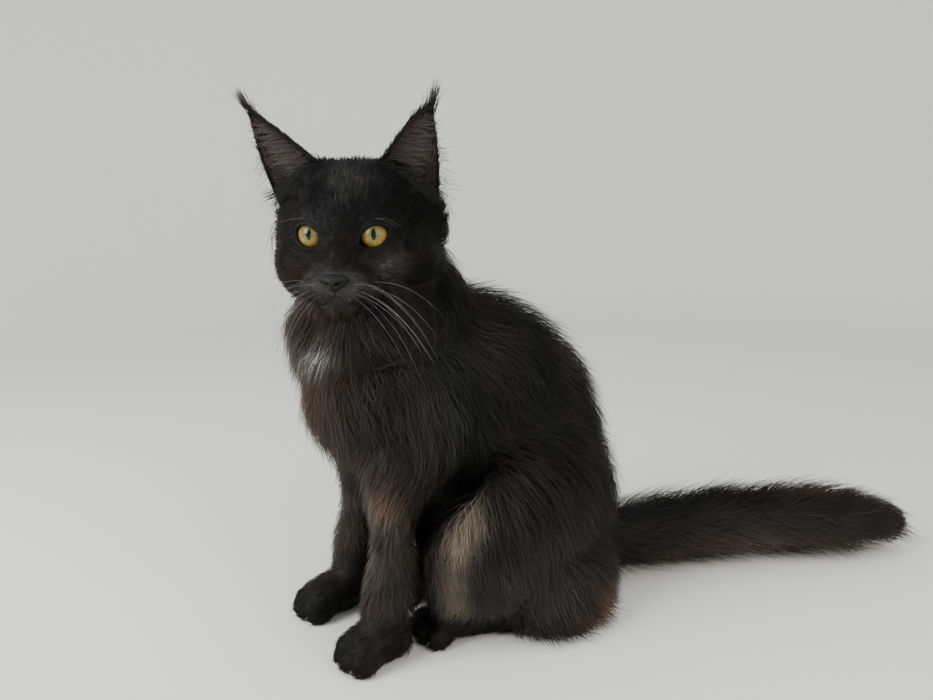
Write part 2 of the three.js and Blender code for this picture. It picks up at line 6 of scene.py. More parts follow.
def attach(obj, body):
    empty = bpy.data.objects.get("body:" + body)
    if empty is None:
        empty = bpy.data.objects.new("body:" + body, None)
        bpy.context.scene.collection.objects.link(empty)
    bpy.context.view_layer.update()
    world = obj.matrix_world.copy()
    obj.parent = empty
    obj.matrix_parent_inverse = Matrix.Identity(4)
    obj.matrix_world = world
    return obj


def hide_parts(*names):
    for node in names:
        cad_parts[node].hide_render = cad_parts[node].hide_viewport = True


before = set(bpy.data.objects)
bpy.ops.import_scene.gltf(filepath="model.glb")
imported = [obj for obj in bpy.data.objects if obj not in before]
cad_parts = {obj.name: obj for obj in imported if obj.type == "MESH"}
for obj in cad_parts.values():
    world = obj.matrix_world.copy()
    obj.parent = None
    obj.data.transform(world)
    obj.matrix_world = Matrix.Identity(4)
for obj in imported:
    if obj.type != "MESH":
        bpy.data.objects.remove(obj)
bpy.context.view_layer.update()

# The cat's body as it is under the coat: trunk, neck, legs and tail are muscle and bone with loose skin over
# them. Each is a rounded tube carried along its own line, in millimetres from the floor point between the
# forepaws, with the cat facing -Y; the tubes are then grown together. A station is x, y, z, width, out, in.
FLOOR_POINT = np.array([-22.12, -245.36, 0.0])
TRUNK = [
    [0, 194, 50, 48, 36, 38], [0, 178, 92, 62, 57, 50], [0, 148, 136, 66, 88, 62],
    [0, 107, 166, 61, 99, 60], [0, 66, 184, 56, 85, 58], [0, 26, 196, 54, 62, 54],
]
NECK = [
    [0, 44, 198, 46, 52, 54], [0, 38, 232, 50, 54, 60], [3, 30, 264, 55, 61, 60], [6, 23, 298, 54, 60, 54],
]
FORELEG = [
    [43, 48, 198, 26, 40, 40], [47, 46, 168, 27, 30, 34], [48, 31, 141, 22, 21, 26],
    [48, 24, 118, 19.5, 16, 19], [48, 22, 96, 19, 15, 15], [49, 21, 70, 20.5, 20, 19],
    [49, 17, 48, 21, 21.5, 19.5], [48, 12, 30, 18.5, 18.5, 17],
]
FOREPAW = [
    [48, 28, 18, 17, 15, 18], [47, 18, 19, 19, 16, 21], [47, 5, 16, 21, 16, 17], [47, -5, 14, 21, 14, 15],
]
THIGH = [
    [44, 204, 84, 26, 50, 38], [54, 168, 94, 31, 64, 68], [62, 128, 92, 33, 62, 72],
    [68, 96, 80, 30, 54, 60], [70, 72, 64, 24, 42, 46], [66, 60, 48, 19, 28, 32],
]
BRITCH = [
    [53, 205, 27, 19, 28, 27], [66, 178, 29, 25, 32, 29],
    [73, 150, 27, 25, 30, 27], [68, 122, 22, 18, 20, 20],
]
HINDFOOT = [
    [56, 130, 18, 17, 22, 19], [53, 102, 18, 19, 21, 19], [48, 78, 18, 21, 24, 18], [44, 62, 16, 21, 21, 15],
]
TAIL = [
    [0, 205, 48, 26, 26, 28], [25, 246, 38, 24, 24, 24], [36, 300, 36, 21, 22, 21], [57, 365, 36, 21, 22, 21],
    [89, 440, 36, 22, 22, 21], [111, 490, 33, 21, 20, 20], [126, 521, 29, 18, 16, 16],
]
# How far the right limbs stand from the left ones' mirror: foreleg inwards, foreleg, forepaw and thigh back,
# hind foot inwards.
STEPS = {"left": (0, 0, 0, 0, 0), "right": (10, 9, -5, -7, 16)}
SIDES = {"left": 1, "right": -1}
LINE_STOPS = 161
SKIN_VOXEL = 0.0025
LOOSE_FLANK = {"behind": (50, 20), "above": (66, 24), "steps": 4, "smoothing": 70}


def seat(points):
    """Millimetres from the floor point between the paws, made metres in the part's own frame."""
    return (points + FLOOR_POINT) / 1000


def unit(v):
    """v divided by its own length."""
    return v / np.maximum(np.linalg.norm(v, axis=-1, keepdims=True), 1e-9)


def dot(a, b):
    """Row by row products of two lists of directions."""
    return np.einsum("ij,ij->i", a, b)


def grid(*axes):
    """Every crossing of the axes' values."""
    return np.meshgrid(*axes, indexing="ij")


def turns_of(count):
    """So many even angles round a full turn."""
    return np.arange(count) / count * 2 * np.pi


def fade(value, start, width):
    """0 up to the start, then (value - start) / width, then 1."""
    return np.clip((value - start) / width, 0, 1)


def placed(stations, side, inward=0.0, back=0.0):
    """Stations of the left side's limb, moved to that side, and by a step inwards and backwards."""
    moved = np.array(stations, float)
    moved[:, 0] = moved[:, 0] * side + inward
    moved[:, 1] += back
    return moved


def limb(stations, reference, ends, inset):
    """A line through the stations: on each stretch the cubic whose end slopes follow the chords to the
    neighbouring stations, spaced by the root of the chord's length; then evened out along its length."""
    k = np.array(stations, float)
    k = np.vstack([2 * k[0] - k[1], k, 2 * k[-1] - k[-2]])
    step = np.sqrt(np.linalg.norm(np.diff(k[:, :3], axis=0), axis=1))
    s = np.linspace(0, 1, 40, endpoint=False)[:, None]
    runs = []
    for i in range(1, len(k) - 2):
        d0, d1, d2 = step[i - 1], step[i], step[i + 1]
        m1 = ((k[i] - k[i - 1]) / d0 - (k[i + 1] - k[i - 1]) / (d0 + d1) + (k[i + 1] - k[i]) / d1) * d1
        m2 = ((k[i + 1] - k[i]) / d1 - (k[i + 2] - k[i]) / (d1 + d2) + (k[i + 2] - k[i + 1]) / d2) * d1
        rise = s * s * (3 - 2 * s)
        runs.append(k[i] * (1 - rise) + k[i + 1] * rise + m1 * s * (1 - s) ** 2 - m2 * s * s * (1 - s))
    dense = np.vstack([*runs, k[-2]])
    dense[:, 3:] -= inset
    length = np.concatenate([[0], np.cumsum(np.linalg.norm(np.diff(dense[:, :3], axis=0), axis=1))])
    stops = np.linspace(0, 1, LINE_STOPS)
    even = np.stack([np.interp(stops, length / length[-1], column) for column in dense.T], axis=1)
    return {
        "at": even[:, :3],
        "size": even[:, 3:],
        "along": unit(np.gradient(even[:, :3], axis=0)),
        "stops": stops,
        "length": length[-1],
        "reference": np.array(reference, float),
        "ends": np.array(ends, float) - inset,
    }


def limb_point(tube, t, a):
    """Point at stop t and angle a: centre(t) + side cos(a) width cos(p) + out sin(a) depth cos(p)
    + along sin(p) end, where p is 0 along the line and grows to a quarter turn past either end."""
    inside = np.clip(t, 0, 1)
    at, along, size = (
        np.stack([np.interp(inside, tube["stops"], c) for c in tube[key].T], axis=-1)
        for key in ("at", "along", "size")
    )
    along = unit(along)
    out = unit(tube["reference"] - along * (along @ tube["reference"])[..., None])
    side = np.cross(out, along)
    past = (t - inside) * np.pi / 2
    end = np.where(past < 0, tube["ends"][0], tube["ends"][1])
    depth = np.where(np.sin(a) > 0, size[..., 1], size[..., 2])
    return (
        at
        + along * (np.sin(past) * end)[..., None]
        + side * (size[..., 0] * np.cos(a) * np.cos(past))[..., None]
        + out * (depth * np.sin(a) * np.cos(past))[..., None]
    )


def linked(name, data):
    """An object of the scene, at the origin."""
    piece = bpy.data.objects.new(name, data)
    bpy.context.scene.collection.objects.link(piece)
    return piece


def solid(name, points, faces):
    """Closed mesh through points in millimetres, its faces turned round where the sum of a . (b x c) over
    them, about the points' middle, is negative."""
    mesh = bpy.data.meshes.new(name)
    mesh.from_pydata(seat(points).tolist(), [], faces)
    a, b, c = (points[[face[k] for face in faces]] for k in range(3))
    if np.einsum("ij,ij->", a - points.mean(0), np.cross(b - a, c - a)) < 0:
        mesh.flip_normals()
    return linked(name, mesh)


def ring_quads(rows, columns, first=0, closed=False):
    """Quads between each ring of points and the next one, and from the last back to the first if closed."""
    i, j = grid(np.arange(rows if closed else rows - 1), np.arange(columns))
    i2, j2 = (i + 1) % rows, (j + 1) % columns
    corners = [i * columns + j, i * columns + j2, i2 * columns + j2, i2 * columns + j]
    return (first + np.stack(corners, axis=-1).reshape(-1, 4)).tolist()


def closed_piece(name, rings, first, last):
    """Solid from rings of points: quads between them, and a fan of triangles to a point at either end."""
    rows, columns = rings.shape[:2]
    ring = np.arange(columns)
    after = (ring + 1) % columns
    top = 1 + (rows - 1) * columns
    foot = np.stack([np.zeros(columns, int), 1 + after, 1 + ring], axis=1).tolist()
    head = np.stack([top + ring, top + after, np.full(columns, top + columns)], axis=1).tolist()
    faces = ring_quads(rows, columns, 1) + foot + head
    return solid(name, np.vstack([first, rings.reshape(-1, 3), last]), faces)


def turned_piece(name, surface, stops, around):
    """Solid of a surface given by stop and angle: a point at the first and the last stop, rings between."""
    rings = surface(*grid(np.array(stops[1:-1]), turns_of(around)))
    return closed_piece(name, rings, *(surface(np.array([s]), np.zeros(1)) for s in (stops[0], stops[-1])))


def baked(piece, kind, **values):
    """The piece made plain mesh again, with a modifier of this kind worked into it."""
    modifier = piece.modifiers.new(kind.lower(), kind)
    for key, value in values.items():
        setattr(modifier, key, value)
    view = bpy.context.evaluated_depsgraph_get()
    mesh = bpy.data.meshes.new_from_object(piece.evaluated_get(view))
    piece.modifiers.clear()
    piece.data = mesh


def joined(pieces):
    """Several objects as the first one."""
    chosen = {"active_object": pieces[0], "selected_editable_objects": pieces, "selected_objects": pieces}
    with bpy.context.temp_override(**chosen):
        bpy.ops.object.join()
    return pieces[0]


def points_of(piece):
    """The piece's points in the sitting cat's millimetres."""
    points = np.empty(len(piece.data.vertices) * 3, np.float32)
    piece.data.vertices.foreach_get("co", points)
    return points.reshape(-1, 3).astype(float) * 1000 - FLOOR_POINT


limbs = {
    "trunk": limb(TRUNK, (0, 0.7, 0.7), (34, 40), 7),
    "neck": limb(NECK, (0, 1, 0), (10, 17), 7),
    "tail": limb(TAIL, (0, 0, 1), (10, 14), 8),
}
for side_name, side in SIDES.items():
    inward, leg_back, paw_back, thigh_back, foot_inward = STEPS[side_name]
    limbs["foreleg_" + side_name] = limb(placed(FORELEG, side, inward, leg_back), (0, 1, 0), (20, 10), 4)
    limbs["forepaw_" + side_name] = limb(placed(FOREPAW, side, inward, paw_back), (0, 0, 1), (8, 10), 1.5)
    limbs["britch_" + side_name] = limb(placed(BRITCH, side), (0, 0, 1), (13, 14), 4)
    limbs["thigh_" + side_name] = limb(placed(THIGH, side, 0, thigh_back), (0, 0, 1), (16, 13), 7)
    limbs["hindfoot_" + side_name] = limb(placed(HINDFOOT, side, foot_inward), (0, 0, 1), (14, 8), 2)

# Toes: four on each foot, the two middle ones ahead, each a round pad of flesh with the claw drawn in.
TOE = {"size": (6.4, 11.5, 9.6), "apart": 10.4, "set_back": 5, "lift": 8.8}
FOOT_FRONTS = ((47, -12.5), (43, 51), (10 - 47, -12.5 - 5), (16 - 43, 51))
toe_places = [
    (x + k * TOE["apart"], y + TOE["set_back"] * (abs(k) > 1))
    for x, y in FOOT_FRONTS
    for k in (-1.5, -0.5, 0.5, 1.5)
]


def toe_point(x, y):
    """Surface of a toe: centre + size (sin p cos q, sin p sin q, cos p), p from the top and q round it."""
    def point(p, q):
        around = np.stack([np.sin(p) * np.cos(q), np.sin(p) * np.sin(q), np.cos(p)], axis=-1)
        return np.array([x, y, TOE["lift"]]) + around * TOE["size"]
    return point


LIMB_STOPS = [-1.0, *np.linspace(-0.96, 1.96, 72), 2.0]
body_pieces = [
    turned_piece("skin_part_" + name, lambda t, a, tube=tube: limb_point(tube, t, a), LIMB_STOPS, 64)
    for name, tube in limbs.items()
]
body_pieces += [
    turned_piece("skin_part_toe", toe_point(x, y), np.linspace(0, np.pi, 16), 20) for x, y in toe_places
]
skin = joined(body_pieces)
skin.name = "skin"
baked(skin, "REMESH", mode="VOXEL", voxel_size=SKIN_VOXEL)
baked(skin, "SMOOTH", factor=0.5, iterations=5)
on_body = points_of(skin)
share = fade(on_body[:, 1], *LOOSE_FLANK["behind"]) * fade(on_body[:, 2], *LOOSE_FLANK["above"])
flank = skin.vertex_groups.new(name="flank")
for step in range(1, LOOSE_FLANK["steps"] + 1):
    within = np.flatnonzero(np.ceil(share * LOOSE_FLANK["steps"]) == step).tolist()
    flank.add(within, step / LOOSE_FLANK["steps"], "REPLACE")
baked(skin, "SMOOTH", factor=0.5, iterations=LOOSE_FLANK["smoothing"], vertex_group="flank")

# The head: skull, cheeks, brow, bridge of the nose, whisker pads, chin and jaw flow into one another. It is
# the blend of ellipsoids below, in the head's own frame, and is turned to the cat's left on the neck. A form
# is its centre, its radii and how softly it melts into the ones before it.
HEAD_AT = np.array([6.8, 16.9, 307.5])
HEAD_TURN = 54.0
HEAD_NOD = 4.0
HEAD_FORMS = [
    ((0, 6, 11), (52, 53, 46), 0),
    ((25, 2, 38), (21, 26, 18.5), 10),
    ((44, 12, 10), (22, 24, 30), 14),
    ((0, -20, -2), (39, 32, 34), 10),
    ((32, -3, -14), (29, 33, 29), 12),
    ((18, -32, 19), (15, 11, 8), 8),
    ((0, -43, -6), (11.5, 21, 13.5), 8),
    ((0, -46, -25), (26, 20, 15.5), 8),
    ((14, -55, -27.5), (14.5, 11, 10), 5),
    ((0, -52, -39), (13, 11, 8), 5),
    ((0, -26, -33), (30, 28, 16), 10),
]
HEAD_CENTRE = np.array([0.0, -14.0, -6.0])
MUZZLE_AXIS = unit(np.array([0.0, -1.0, -0.38]))
MUZZLE_UP = np.cross([1.0, 0.0, 0.0], MUZZLE_AXIS)
FACE_FUR = 2.0
CROWN_FUR = 4.0
SIDE_FUR = 3.0
EYE_AT = np.array([20.6, -34.5, 6.8])
EYE_RADIUS = 11.4
LID_THICK = 1.5


def about_x(degrees):
    """Turn about X."""
    c, s = np.cos(np.radians(degrees)), np.sin(np.radians(degrees))
    return np.array([[1, 0, 0], [0, c, -s], [0, s, c]])


z_cos, z_sin = np.cos(np.radians(HEAD_TURN)), np.sin(np.radians(HEAD_TURN))
HEAD_TURNED = np.array([[z_cos, -z_sin, 0], [z_sin, z_cos, 0], [0, 0, 1]]) @ about_x(HEAD_NOD)


def from_head(points):
    """Points of the head's own frame, in the sitting cat's millimetres."""
    return points @ HEAD_TURNED.T + HEAD_AT


def to_head(points):
    """The other way round."""
    return (points - HEAD_AT) @ HEAD_TURNED


def ellipsoid_distance(p, centre, radii):
    """About the distance to an ellipsoid: k (k - 1) / g, with k = |p / r| and g = |p / r^2|."""
    q = (p - centre) / radii
    k = np.linalg.norm(q, axis=-1)
    return k * (k - 1) / np.maximum(np.linalg.norm(q / radii, axis=-1), 1e-9)


def melt(a, b, k):
    """The lower of two distances, rounded off where they are within k of each other."""
    h = np.maximum(k - np.abs(a - b), 0) / k
    return np.minimum(a, b) - h * h * k / 4


def back_and_side(p):
    """How far back on the head a point is, and how far out at its side behind, each from 0 to 1."""
    back = fade(p[..., 1], -40, 45)
    return back, fade(np.abs(p[..., 0]), 30, 22) * back


def head_distance(p):
    """Distance to the skin of the head: the blended forms, less the depth of the fur there."""
    centre, radii, _ = HEAD_FORMS[0]
    d = ellipsoid_distance(p, np.array(centre, float), np.array(radii, float))
    for centre, radii, soft in HEAD_FORMS[1:]:
        for mirror in (1, -1) if centre[0] else (1,):
            there = np.array([centre[0] * mirror, *centre[1:]], float)
            d = melt(d, ellipsoid_distance(p, there, np.array(radii, float)), soft)
    back, side = back_and_side(p)
    d = d + FACE_FUR + (CROWN_FUR - FACE_FUR) * back * back * (3 - 2 * back) + SIDE_FUR * side
    for mirror in (1, -1):
        d = melt(d, ellipsoid_distance(p, EYE_AT * [mirror, 1, 1], np.full(3, EYE_RADIUS + LID_THICK)), 2.5)
    return d


def head_point(angle, turn):
    """Where the ray at an angle from the muzzle's axis and a turn round it leaves the head: it comes in from
    outside by 0.7 of the distance that is left, until nothing is left."""
    flat = np.cos(turn)[..., None] * np.array([1.0, 0.0, 0.0]) + np.sin(turn)[..., None] * MUZZLE_UP
    ray = np.cos(angle)[..., None] * MUZZLE_AXIS + np.sin(angle)[..., None] * flat
    reach = np.full(ray.shape[:-1], 110.0)
    for _ in range(70):
        reach -= 0.7 * head_distance(HEAD_CENTRE + ray * reach[..., None])
    return HEAD_CENTRE + ray * reach[..., None]


HEAD_ROWS = 140
HEAD_AROUND = 216
head_angles = np.pi * (np.arange(HEAD_ROWS + 1) / HEAD_ROWS) ** 1.2
head = turned_piece("skin_part_head", lambda p, q: from_head(head_point(p, q)), head_angles, HEAD_AROUND)

# The eyelids' openings and the line of the mouth with the groove under the nose, cut into the head.
LID_OPENING = {"half_width": 11.0, "upper": 7.4, "lower": 7.6, "slant": 27.0, "outward": 10.0, "deep": 26}
MOUTH = {"width": 0.7, "half_span": 18.0, "height": -33.5, "bow": 3.2, "behind": -38.0, "deep": 42}
LIP_GROOVE = {"half_width": 0.4, "low": -31, "high": -23, "front": -80, "deep": 19}


def bezier(p0, p1, p2, p3, count):
    """(1-s)^3 p0 + 3 (1-s)^2 s p1 + 3 (1-s) s^2 p2 + s^3 p3, with its last point left out."""
    s = np.linspace(0, 1, count, endpoint=False)[:, None]
    p0, p1, p2, p3 = (np.array(p, float) for p in (p0, p1, p2, p3))
    return (1 - s) ** 3 * p0 + 3 * (1 - s) ** 2 * s * p1 + 3 * (1 - s) * s * s * p2 + s ** 3 * p3


def lid_outline(mirror, grow=0.0, count=20):
    """The almond between the lids in the plane the eye looks through, and the way the eye looks: two cubic
    arcs from corner to corner, turned so that the outer corner is raised."""
    w = LID_OPENING["half_width"] + grow
    up, low = LID_OPENING["upper"] + grow, LID_OPENING["lower"] + grow
    over = bezier((-w, 0), (-0.62 * w, 1.15 * up), (0.55 * w, 1.45 * up), (w, 0), count)
    under = bezier((w, 0), (0.75 * w, -1.30 * low), (-0.5 * w, -1.35 * low), (-w, 0), count)
    flat = np.vstack([over, under]) * [mirror, 1]
    slant = np.radians(LID_OPENING["slant"] * mirror)
    flat = flat @ np.array([[np.cos(slant), np.sin(slant)], [-np.sin(slant), np.cos(slant)]])
    outward = np.radians(LID_OPENING["outward"] * mirror)
    across = np.array([np.cos(outward), np.sin(outward), 0])
    gaze = np.array([np.sin(outward), -np.cos(outward), 0])
    return flat[:, :1] * across + flat[:, 1:] * np.array([0, 0, 1.0]), gaze


def prism(name, outline, way, deep):
    """The outline carried so deep along a way, closed by a point at either end."""
    rings = from_head(np.stack([outline, outline + way * deep]))
    return closed_piece(name, rings, *(ring.mean(0)[None] for ring in rings))


def mouth_line(x):
    """Height of the lips' line at x across the muzzle: height + bow cos(2 pi |x| / (1.15 half_span))."""
    return MOUTH["height"] + MOUTH["bow"] * np.cos(2 * np.pi * np.abs(x) / (MOUTH["half_span"] * 1.15))


cutters = []
for mirror in (1, -1):
    outline, gaze = lid_outline(mirror)
    cutters.append(prism("lid_cut", outline + EYE_AT * [mirror, 1, 1], gaze, LID_OPENING["deep"]))
mouth_x = np.linspace(-MOUTH["half_span"], MOUTH["half_span"], 41)
lips = np.stack([mouth_x, np.full(41, MOUTH["behind"]), mouth_line(mouth_x)], axis=1)
half = np.array([0, 0, MOUTH["width"] / 2])
lips = np.vstack([lips + half, lips[::-1] - half])
cutters.append(prism("mouth_cut", lips, np.array([0, -1.0, 0]), MOUTH["deep"]))
w, low, high, front = (LIP_GROOVE[key] for key in ("half_width", "low", "high", "front"))
groove = np.array([[-w, front, low], [w, front, low], [w, front, high], [-w, front, high]])
cutters.append(prism("groove_cut", groove, np.array([0, 1.0, 0]), LIP_GROOVE["deep"]))

# The ears: thin upright cups of skin and gristle, set wide on the skull, open to the front and pointed, with
# a wall of about two millimetres. Each is given by its inner foot, its outer foot and its tip.
EARS = {
    "left": ([17.5, -10, 50.5], [57.5, 12, 25], [57.5, -6, 89.5]),
    "right": ([-19, -10, 50.5], [-60.5, 12, 25], [-72.5, -6, 90.5]),
}
EAR_THICK = 1.8
EAR_CUP = 15.0
EAR_BULGE = 0.07


def ear_frame(side_name):
    """The ear's inner foot, outer foot and tip, its span, its rise and the way to its back."""
    a, b, c = (np.array(p, float) for p in EARS[side_name])
    span, rise = b - a, c - (a + b) / 2
    back = unit(np.cross(span, rise))
    return a, b, c, span, rise, back if back[1] > 0 else -back


def ear_point(side_name, u, v, lift=0.0):
    """Point of the cup at u from the inner edge (-1) to the outer (1) and v from foot to tip: between edges
    that bulge by a sine of v, pushed back by the cup's depth times 1 - u^2. The left ear's inner edge bulges
    more, most of it above."""
    a, b, c, span, _, back = ear_frame(side_name)
    v = np.asarray(v, float)
    u = np.asarray(u, float)
    bulge = (EAR_BULGE * np.sin(np.pi * np.minimum(v, 1)))[..., None]
    full = EAR_BULGE * np.sin(np.pi * np.minimum(v, 1) ** 2)[..., None] * (side_name == "left")
    low = a + (c - a) * v[..., None] - span * (bulge * 0.4 + full)
    high = b + (c - b) * v[..., None] + span * bulge * 0.7
    depth = EAR_CUP * np.maximum(1 - v, 0) ** 0.8
    return low + (high - low) * ((u + 1) / 2)[..., None] + back * (depth * (1 - u * u) + lift)[..., None]


def ear_piece(side_name):
    """Both walls of the cup as rings that run over its inside and back over its outside."""
    v, u = grid(np.linspace(-0.14, 0.985, 60), np.cos(np.linspace(0, np.pi, 34)))
    wall = EAR_THICK * (1 - 0.5 * np.clip(v, 0, 1)) / 2
    behind, before = (ear_point(side_name, u, v, lift) for lift in (wall, -wall))
    rings = np.concatenate([behind, before[:, ::-1]], axis=1)
    tip = ear_point(side_name, np.zeros(1), np.ones(1))
    return closed_piece("skin_part_ear", from_head(rings), from_head(rings[0].mean(0))[None], from_head(tip))


def cup_grid(side_name, stops, across, lift=0.0):
    """Points all over the cup, in one list."""
    v, u = grid(np.linspace(*stops), np.linspace(*across))
    return ear_point(side_name, u, v, lift).reshape(-1, 3)


def nearest(points, others):
    """Each point's distance to the nearest of the others."""
    return np.min(np.linalg.norm(points[:, None] - others[None], axis=2), axis=1)


for operation, parts in (("UNION", [head, *map(ear_piece, EARS)]), ("DIFFERENCE", cutters)):
    for part in parts:
        baked(skin, "BOOLEAN", operation=operation, object=part, solver="MANIFOLD")
        bpy.data.objects.remove(part)
skin.data.shade_smooth()

# The cat is a black one with smoke and rust in it: black that wanders to brown, with rusty, sand and grey
# places, near-black feet and a small white spot on its chest. Some patches are painted light and shade:
# lighter grey painted sheen on the forehead, the near cheek, the muzzle and the shoulders, a faint painted
# highlight beside the white spot, and near-black painted shade on the flanks behind the shoulders and in the
# gaps between forelegs and thighs. A patch is its centre, its sizes, its colour, how strong it is and whether
# it is on both sides; colours are fractions of light.
BLACK = np.array([0.0066, 0.0062, 0.0062])
BROWN = (0.030, 0.021, 0.0155)
RUST = (0.120, 0.050, 0.022)
SAND = (0.325, 0.258, 0.190)
SILVER = (0.480, 0.470, 0.460)
NEAR_BLACK = (0.0034, 0.0032, 0.0032)
DARK_RUST = (0.060, 0.034, 0.022)
PATCHES = [
    ((8, 8, 316), (54, 52, 42), NEAR_BLACK, 0.85, False),
    # painted sheen: lighter grey on the forehead
    ((30, 2, 348), (13, 13, 18), (0.034, 0.033, 0.032), 0.80, False),
    # painted sheen: lighter grey on the near cheek below the eye
    ((58, 20, 292), (14, 14, 10), (0.040, 0.0385, 0.037), 0.85, False),
    # painted sheen: lighter grey on the muzzle
    ((56, -19, 279), (18, 17, 12), (0.050, 0.047, 0.045), 0.85, False),
    ((47, -10, 262), (13, 13, 8), (0.036, 0.030, 0.025), 0.70, False),
    ((30, -10, 252), (34, 26, 14), NEAR_BLACK, 0.70, False),
    # painted shade: near-black on the flank behind the shoulder
    ((76, 104, 178), (26, 36, 44), NEAR_BLACK, 0.70, True),
    # painted shade: near-black in the gap between foreleg and thigh
    ((56, 62, 96), (16, 22, 46), NEAR_BLACK, 0.80, True),
    ((-4, -26, 262), (26, 18, 16), (0.050, 0.028, 0.023), 0.50, False),
    ((-4, -26, 195), (50, 38, 72), (0.060, 0.041, 0.031), 0.85, False),
    ((46, 10, 92), (26, 30, 66), (0.050, 0.039, 0.031), 0.85, True),
    # painted sheen: lighter grey on the shoulder
    ((66, 52, 196), (30, 34, 46), (0.022, 0.0215, 0.0215), 0.80, True),
    ((84, 130, 70), (40, 70, 50), (0.034, 0.028, 0.024), 0.55, True),
    ((90, 130, 36), (26, 62, 24), (0.040, 0.039, 0.040), 0.55, True),
    ((62, 8, 124), (13, 12, 12), (0.115, 0.066, 0.044), 0.75, True),
    ((46, 0, 116), (9, 8, 16), (0.130, 0.108, 0.092), 0.55, True),
    ((-30, -22, 190), (34, 30, 60), (0.070, 0.036, 0.022), 0.45, False),
    ((84, 67, 112), (9, 11, 13), SAND, 0.55, True),
    ((83, 60, 92), (9, 10, 13), SAND, 0.75, True),
    ((79, 58, 72), (8.5, 9, 13), SAND, 0.75, True),
    ((75, 59, 52), (8, 9, 12), SAND, 0.75, True),
    ((77, 66, 44), (8, 10, 9), SAND, 0.60, True),
    ((92, 196, 8), (28, 29, 15), RUST, 0.85, True),
    ((80, 400, 18), (60, 130, 24), (0.058, 0.047, 0.039), 0.85, False),
    ((56, 330, 66), (34, 90, 15), NEAR_BLACK, 0.60, False),
    ((90, 390, 12), (30, 110, 14), DARK_RUST, 0.55, False),
    ((92, 450, 70), (26, 34, 10), DARK_RUST, 0.50, False),
    ((132, 535, 30), (22, 26, 22), (0.060, 0.030, 0.018), 0.50, False),
    ((44, 0, 10), (27, 36, 22), (0.0030, 0.0030, 0.0031), 0.97, True),
    ((44, 84, 6), (28, 50, 15), (0.0030, 0.0030, 0.0031), 0.97, True),
    ((24, -24, 227), (13.5, 12, 4.0), SILVER, 0.90, False),
    # painted highlight: a faint silver touch beside the white spot
    ((49, 8, 241), (7, 9, 3), SILVER, 0.06, False),
]


def drift(points, cell, seed):
    """Slow wander between about -1 and 1 over the body: six sine waves of one length, in ways at random."""
    chance = np.random.default_rng(seed)
    waves = unit(chance.normal(size=(6, 3))) * 2 * np.pi / cell
    return np.sin(points @ waves.T + chance.uniform(0, 2 * np.pi, 6)).sum(axis=1) / 2.4


def paint(points):
    """Colour of the coat by place: black that wanders to brown below the head, then each patch laid over it,
    fading as exp(-|distance / size|^2)."""
    brown = 0.34 * np.clip(drift(points, 64, 5), 0, 1)[:, None] * np.clip((290 - points[:, 2:]) / 40, 0, 1)
    colour = BLACK * (1 - brown) + np.array(BROWN) * brown
    for centre, size, tint, strength, both in PATCHES:
        for side in (1, -1) if both else (1,):
            far = (points - np.array(centre) * [side, 1, 1]) / size
            w = strength * np.exp(-np.sum(far * far, axis=1))[:, None]
            colour = colour * (1 - w) + np.array(tint) * w
    return colour * np.exp(0.22 * drift(points, 30, 6))[:, None]


class Look:
    """A material with one Principled shader; each named value is set on that shader's own socket."""

    def __init__(self, name, roughness, **sockets):
        self.material = bpy.data.materials.new(name)
        self.material.use_nodes = True
        self.nodes, self.links = self.material.node_tree.nodes, self.material.node_tree.links
        self.surface = self.nodes["Principled BSDF"]
        for key, value in {"Roughness": roughness, **sockets}.items():
            self.surface.inputs[key.replace("_", " ")].default_value = value

    def node(self, kind, inputs, output=0, **settings):
        """Output of a new node whose inputs are plain values or other nodes' outputs."""
        made = self.nodes.new("ShaderNode" + kind)
        for key, value in settings.items():
            setattr(made, key, value)
        for key, value in inputs.items():
            if isinstance(value, bpy.types.NodeSocket):
                self.links.new(value, made.inputs[key])
            else:
                made.inputs[key].default_value = value
        return made.outputs[output]

    def noise(self, scale, detail=2.0):
        """Noise over the object's own coordinates, at so many cells to the metre."""
        place = self.node("TexCoord", {}, "Object")
        return self.node("TexNoise", {"Vector": place, "Scale": scale, "Detail": detail}, "Fac")

    def attribute(self, name, output="Color"):
        """A mesh attribute."""
        return self.node("Attribute", {}, output, attribute_name=name)

    def ranged(self, value, low, high, start=(0.0, 1.0)):
        """The value carried from the start's range to the one from low to high."""
        ends = {"From Min": start[0], "From Max": start[1], "To Min": low, "To Max": high}
        return self.node("MapRange", {"Value": value, **ends}, "Result")

    def ramp(self, factor, stops):
        """Colours that run from stop to stop, each a place and a colour."""
        colours = self.node("ValToRGB", {"Fac": factor}, "Color")
        elements = colours.node.color_ramp.elements
        for element, (place, _) in zip(elements, (stops[0], stops[-1])):
            element.position = place
        for place, colour in stops:
            here = [e for e in elements if abs(e.position - place) < 1e-6] or [elements.new(place)]
            here[0].color = (*colour, 1)
        return colours

    def painted(self, colour, factor=None):
        """The shader's base colour, times a factor if there is one."""
        if factor:
            colour = self.node("VectorMath", {0: colour, "Scale": factor}, "Vector", operation="SCALE")
        self.links.new(colour, self.surface.inputs["Base Color"])

    def bumped(self, height, distance):
        """A bump of that height in metres from a texture's value."""
        bump = self.node("Bump", {"Height": height, "Strength": 0.5, "Distance": distance}, "Normal")
        self.links.new(bump, self.surface.inputs["Normal"])


def coloured(piece, colour):
    """The piece's points given a colour of their own, read by its material as the attribute `pelage`."""
    attribute = piece.data.color_attributes.new("pelage", "FLOAT_COLOR", "POINT")
    rgba = np.ones((len(colour), 4), np.float32)
    rgba[:, :3] = colour
    attribute.data.foreach_set("color", rgba.ravel())


def kept(piece, look, nodes=()):
    """The piece with its material, on the still body, and in place of its nodes."""
    piece.data.materials.append(look.material)
    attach(piece, "root")
    if nodes:
        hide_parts(*nodes)
    return piece


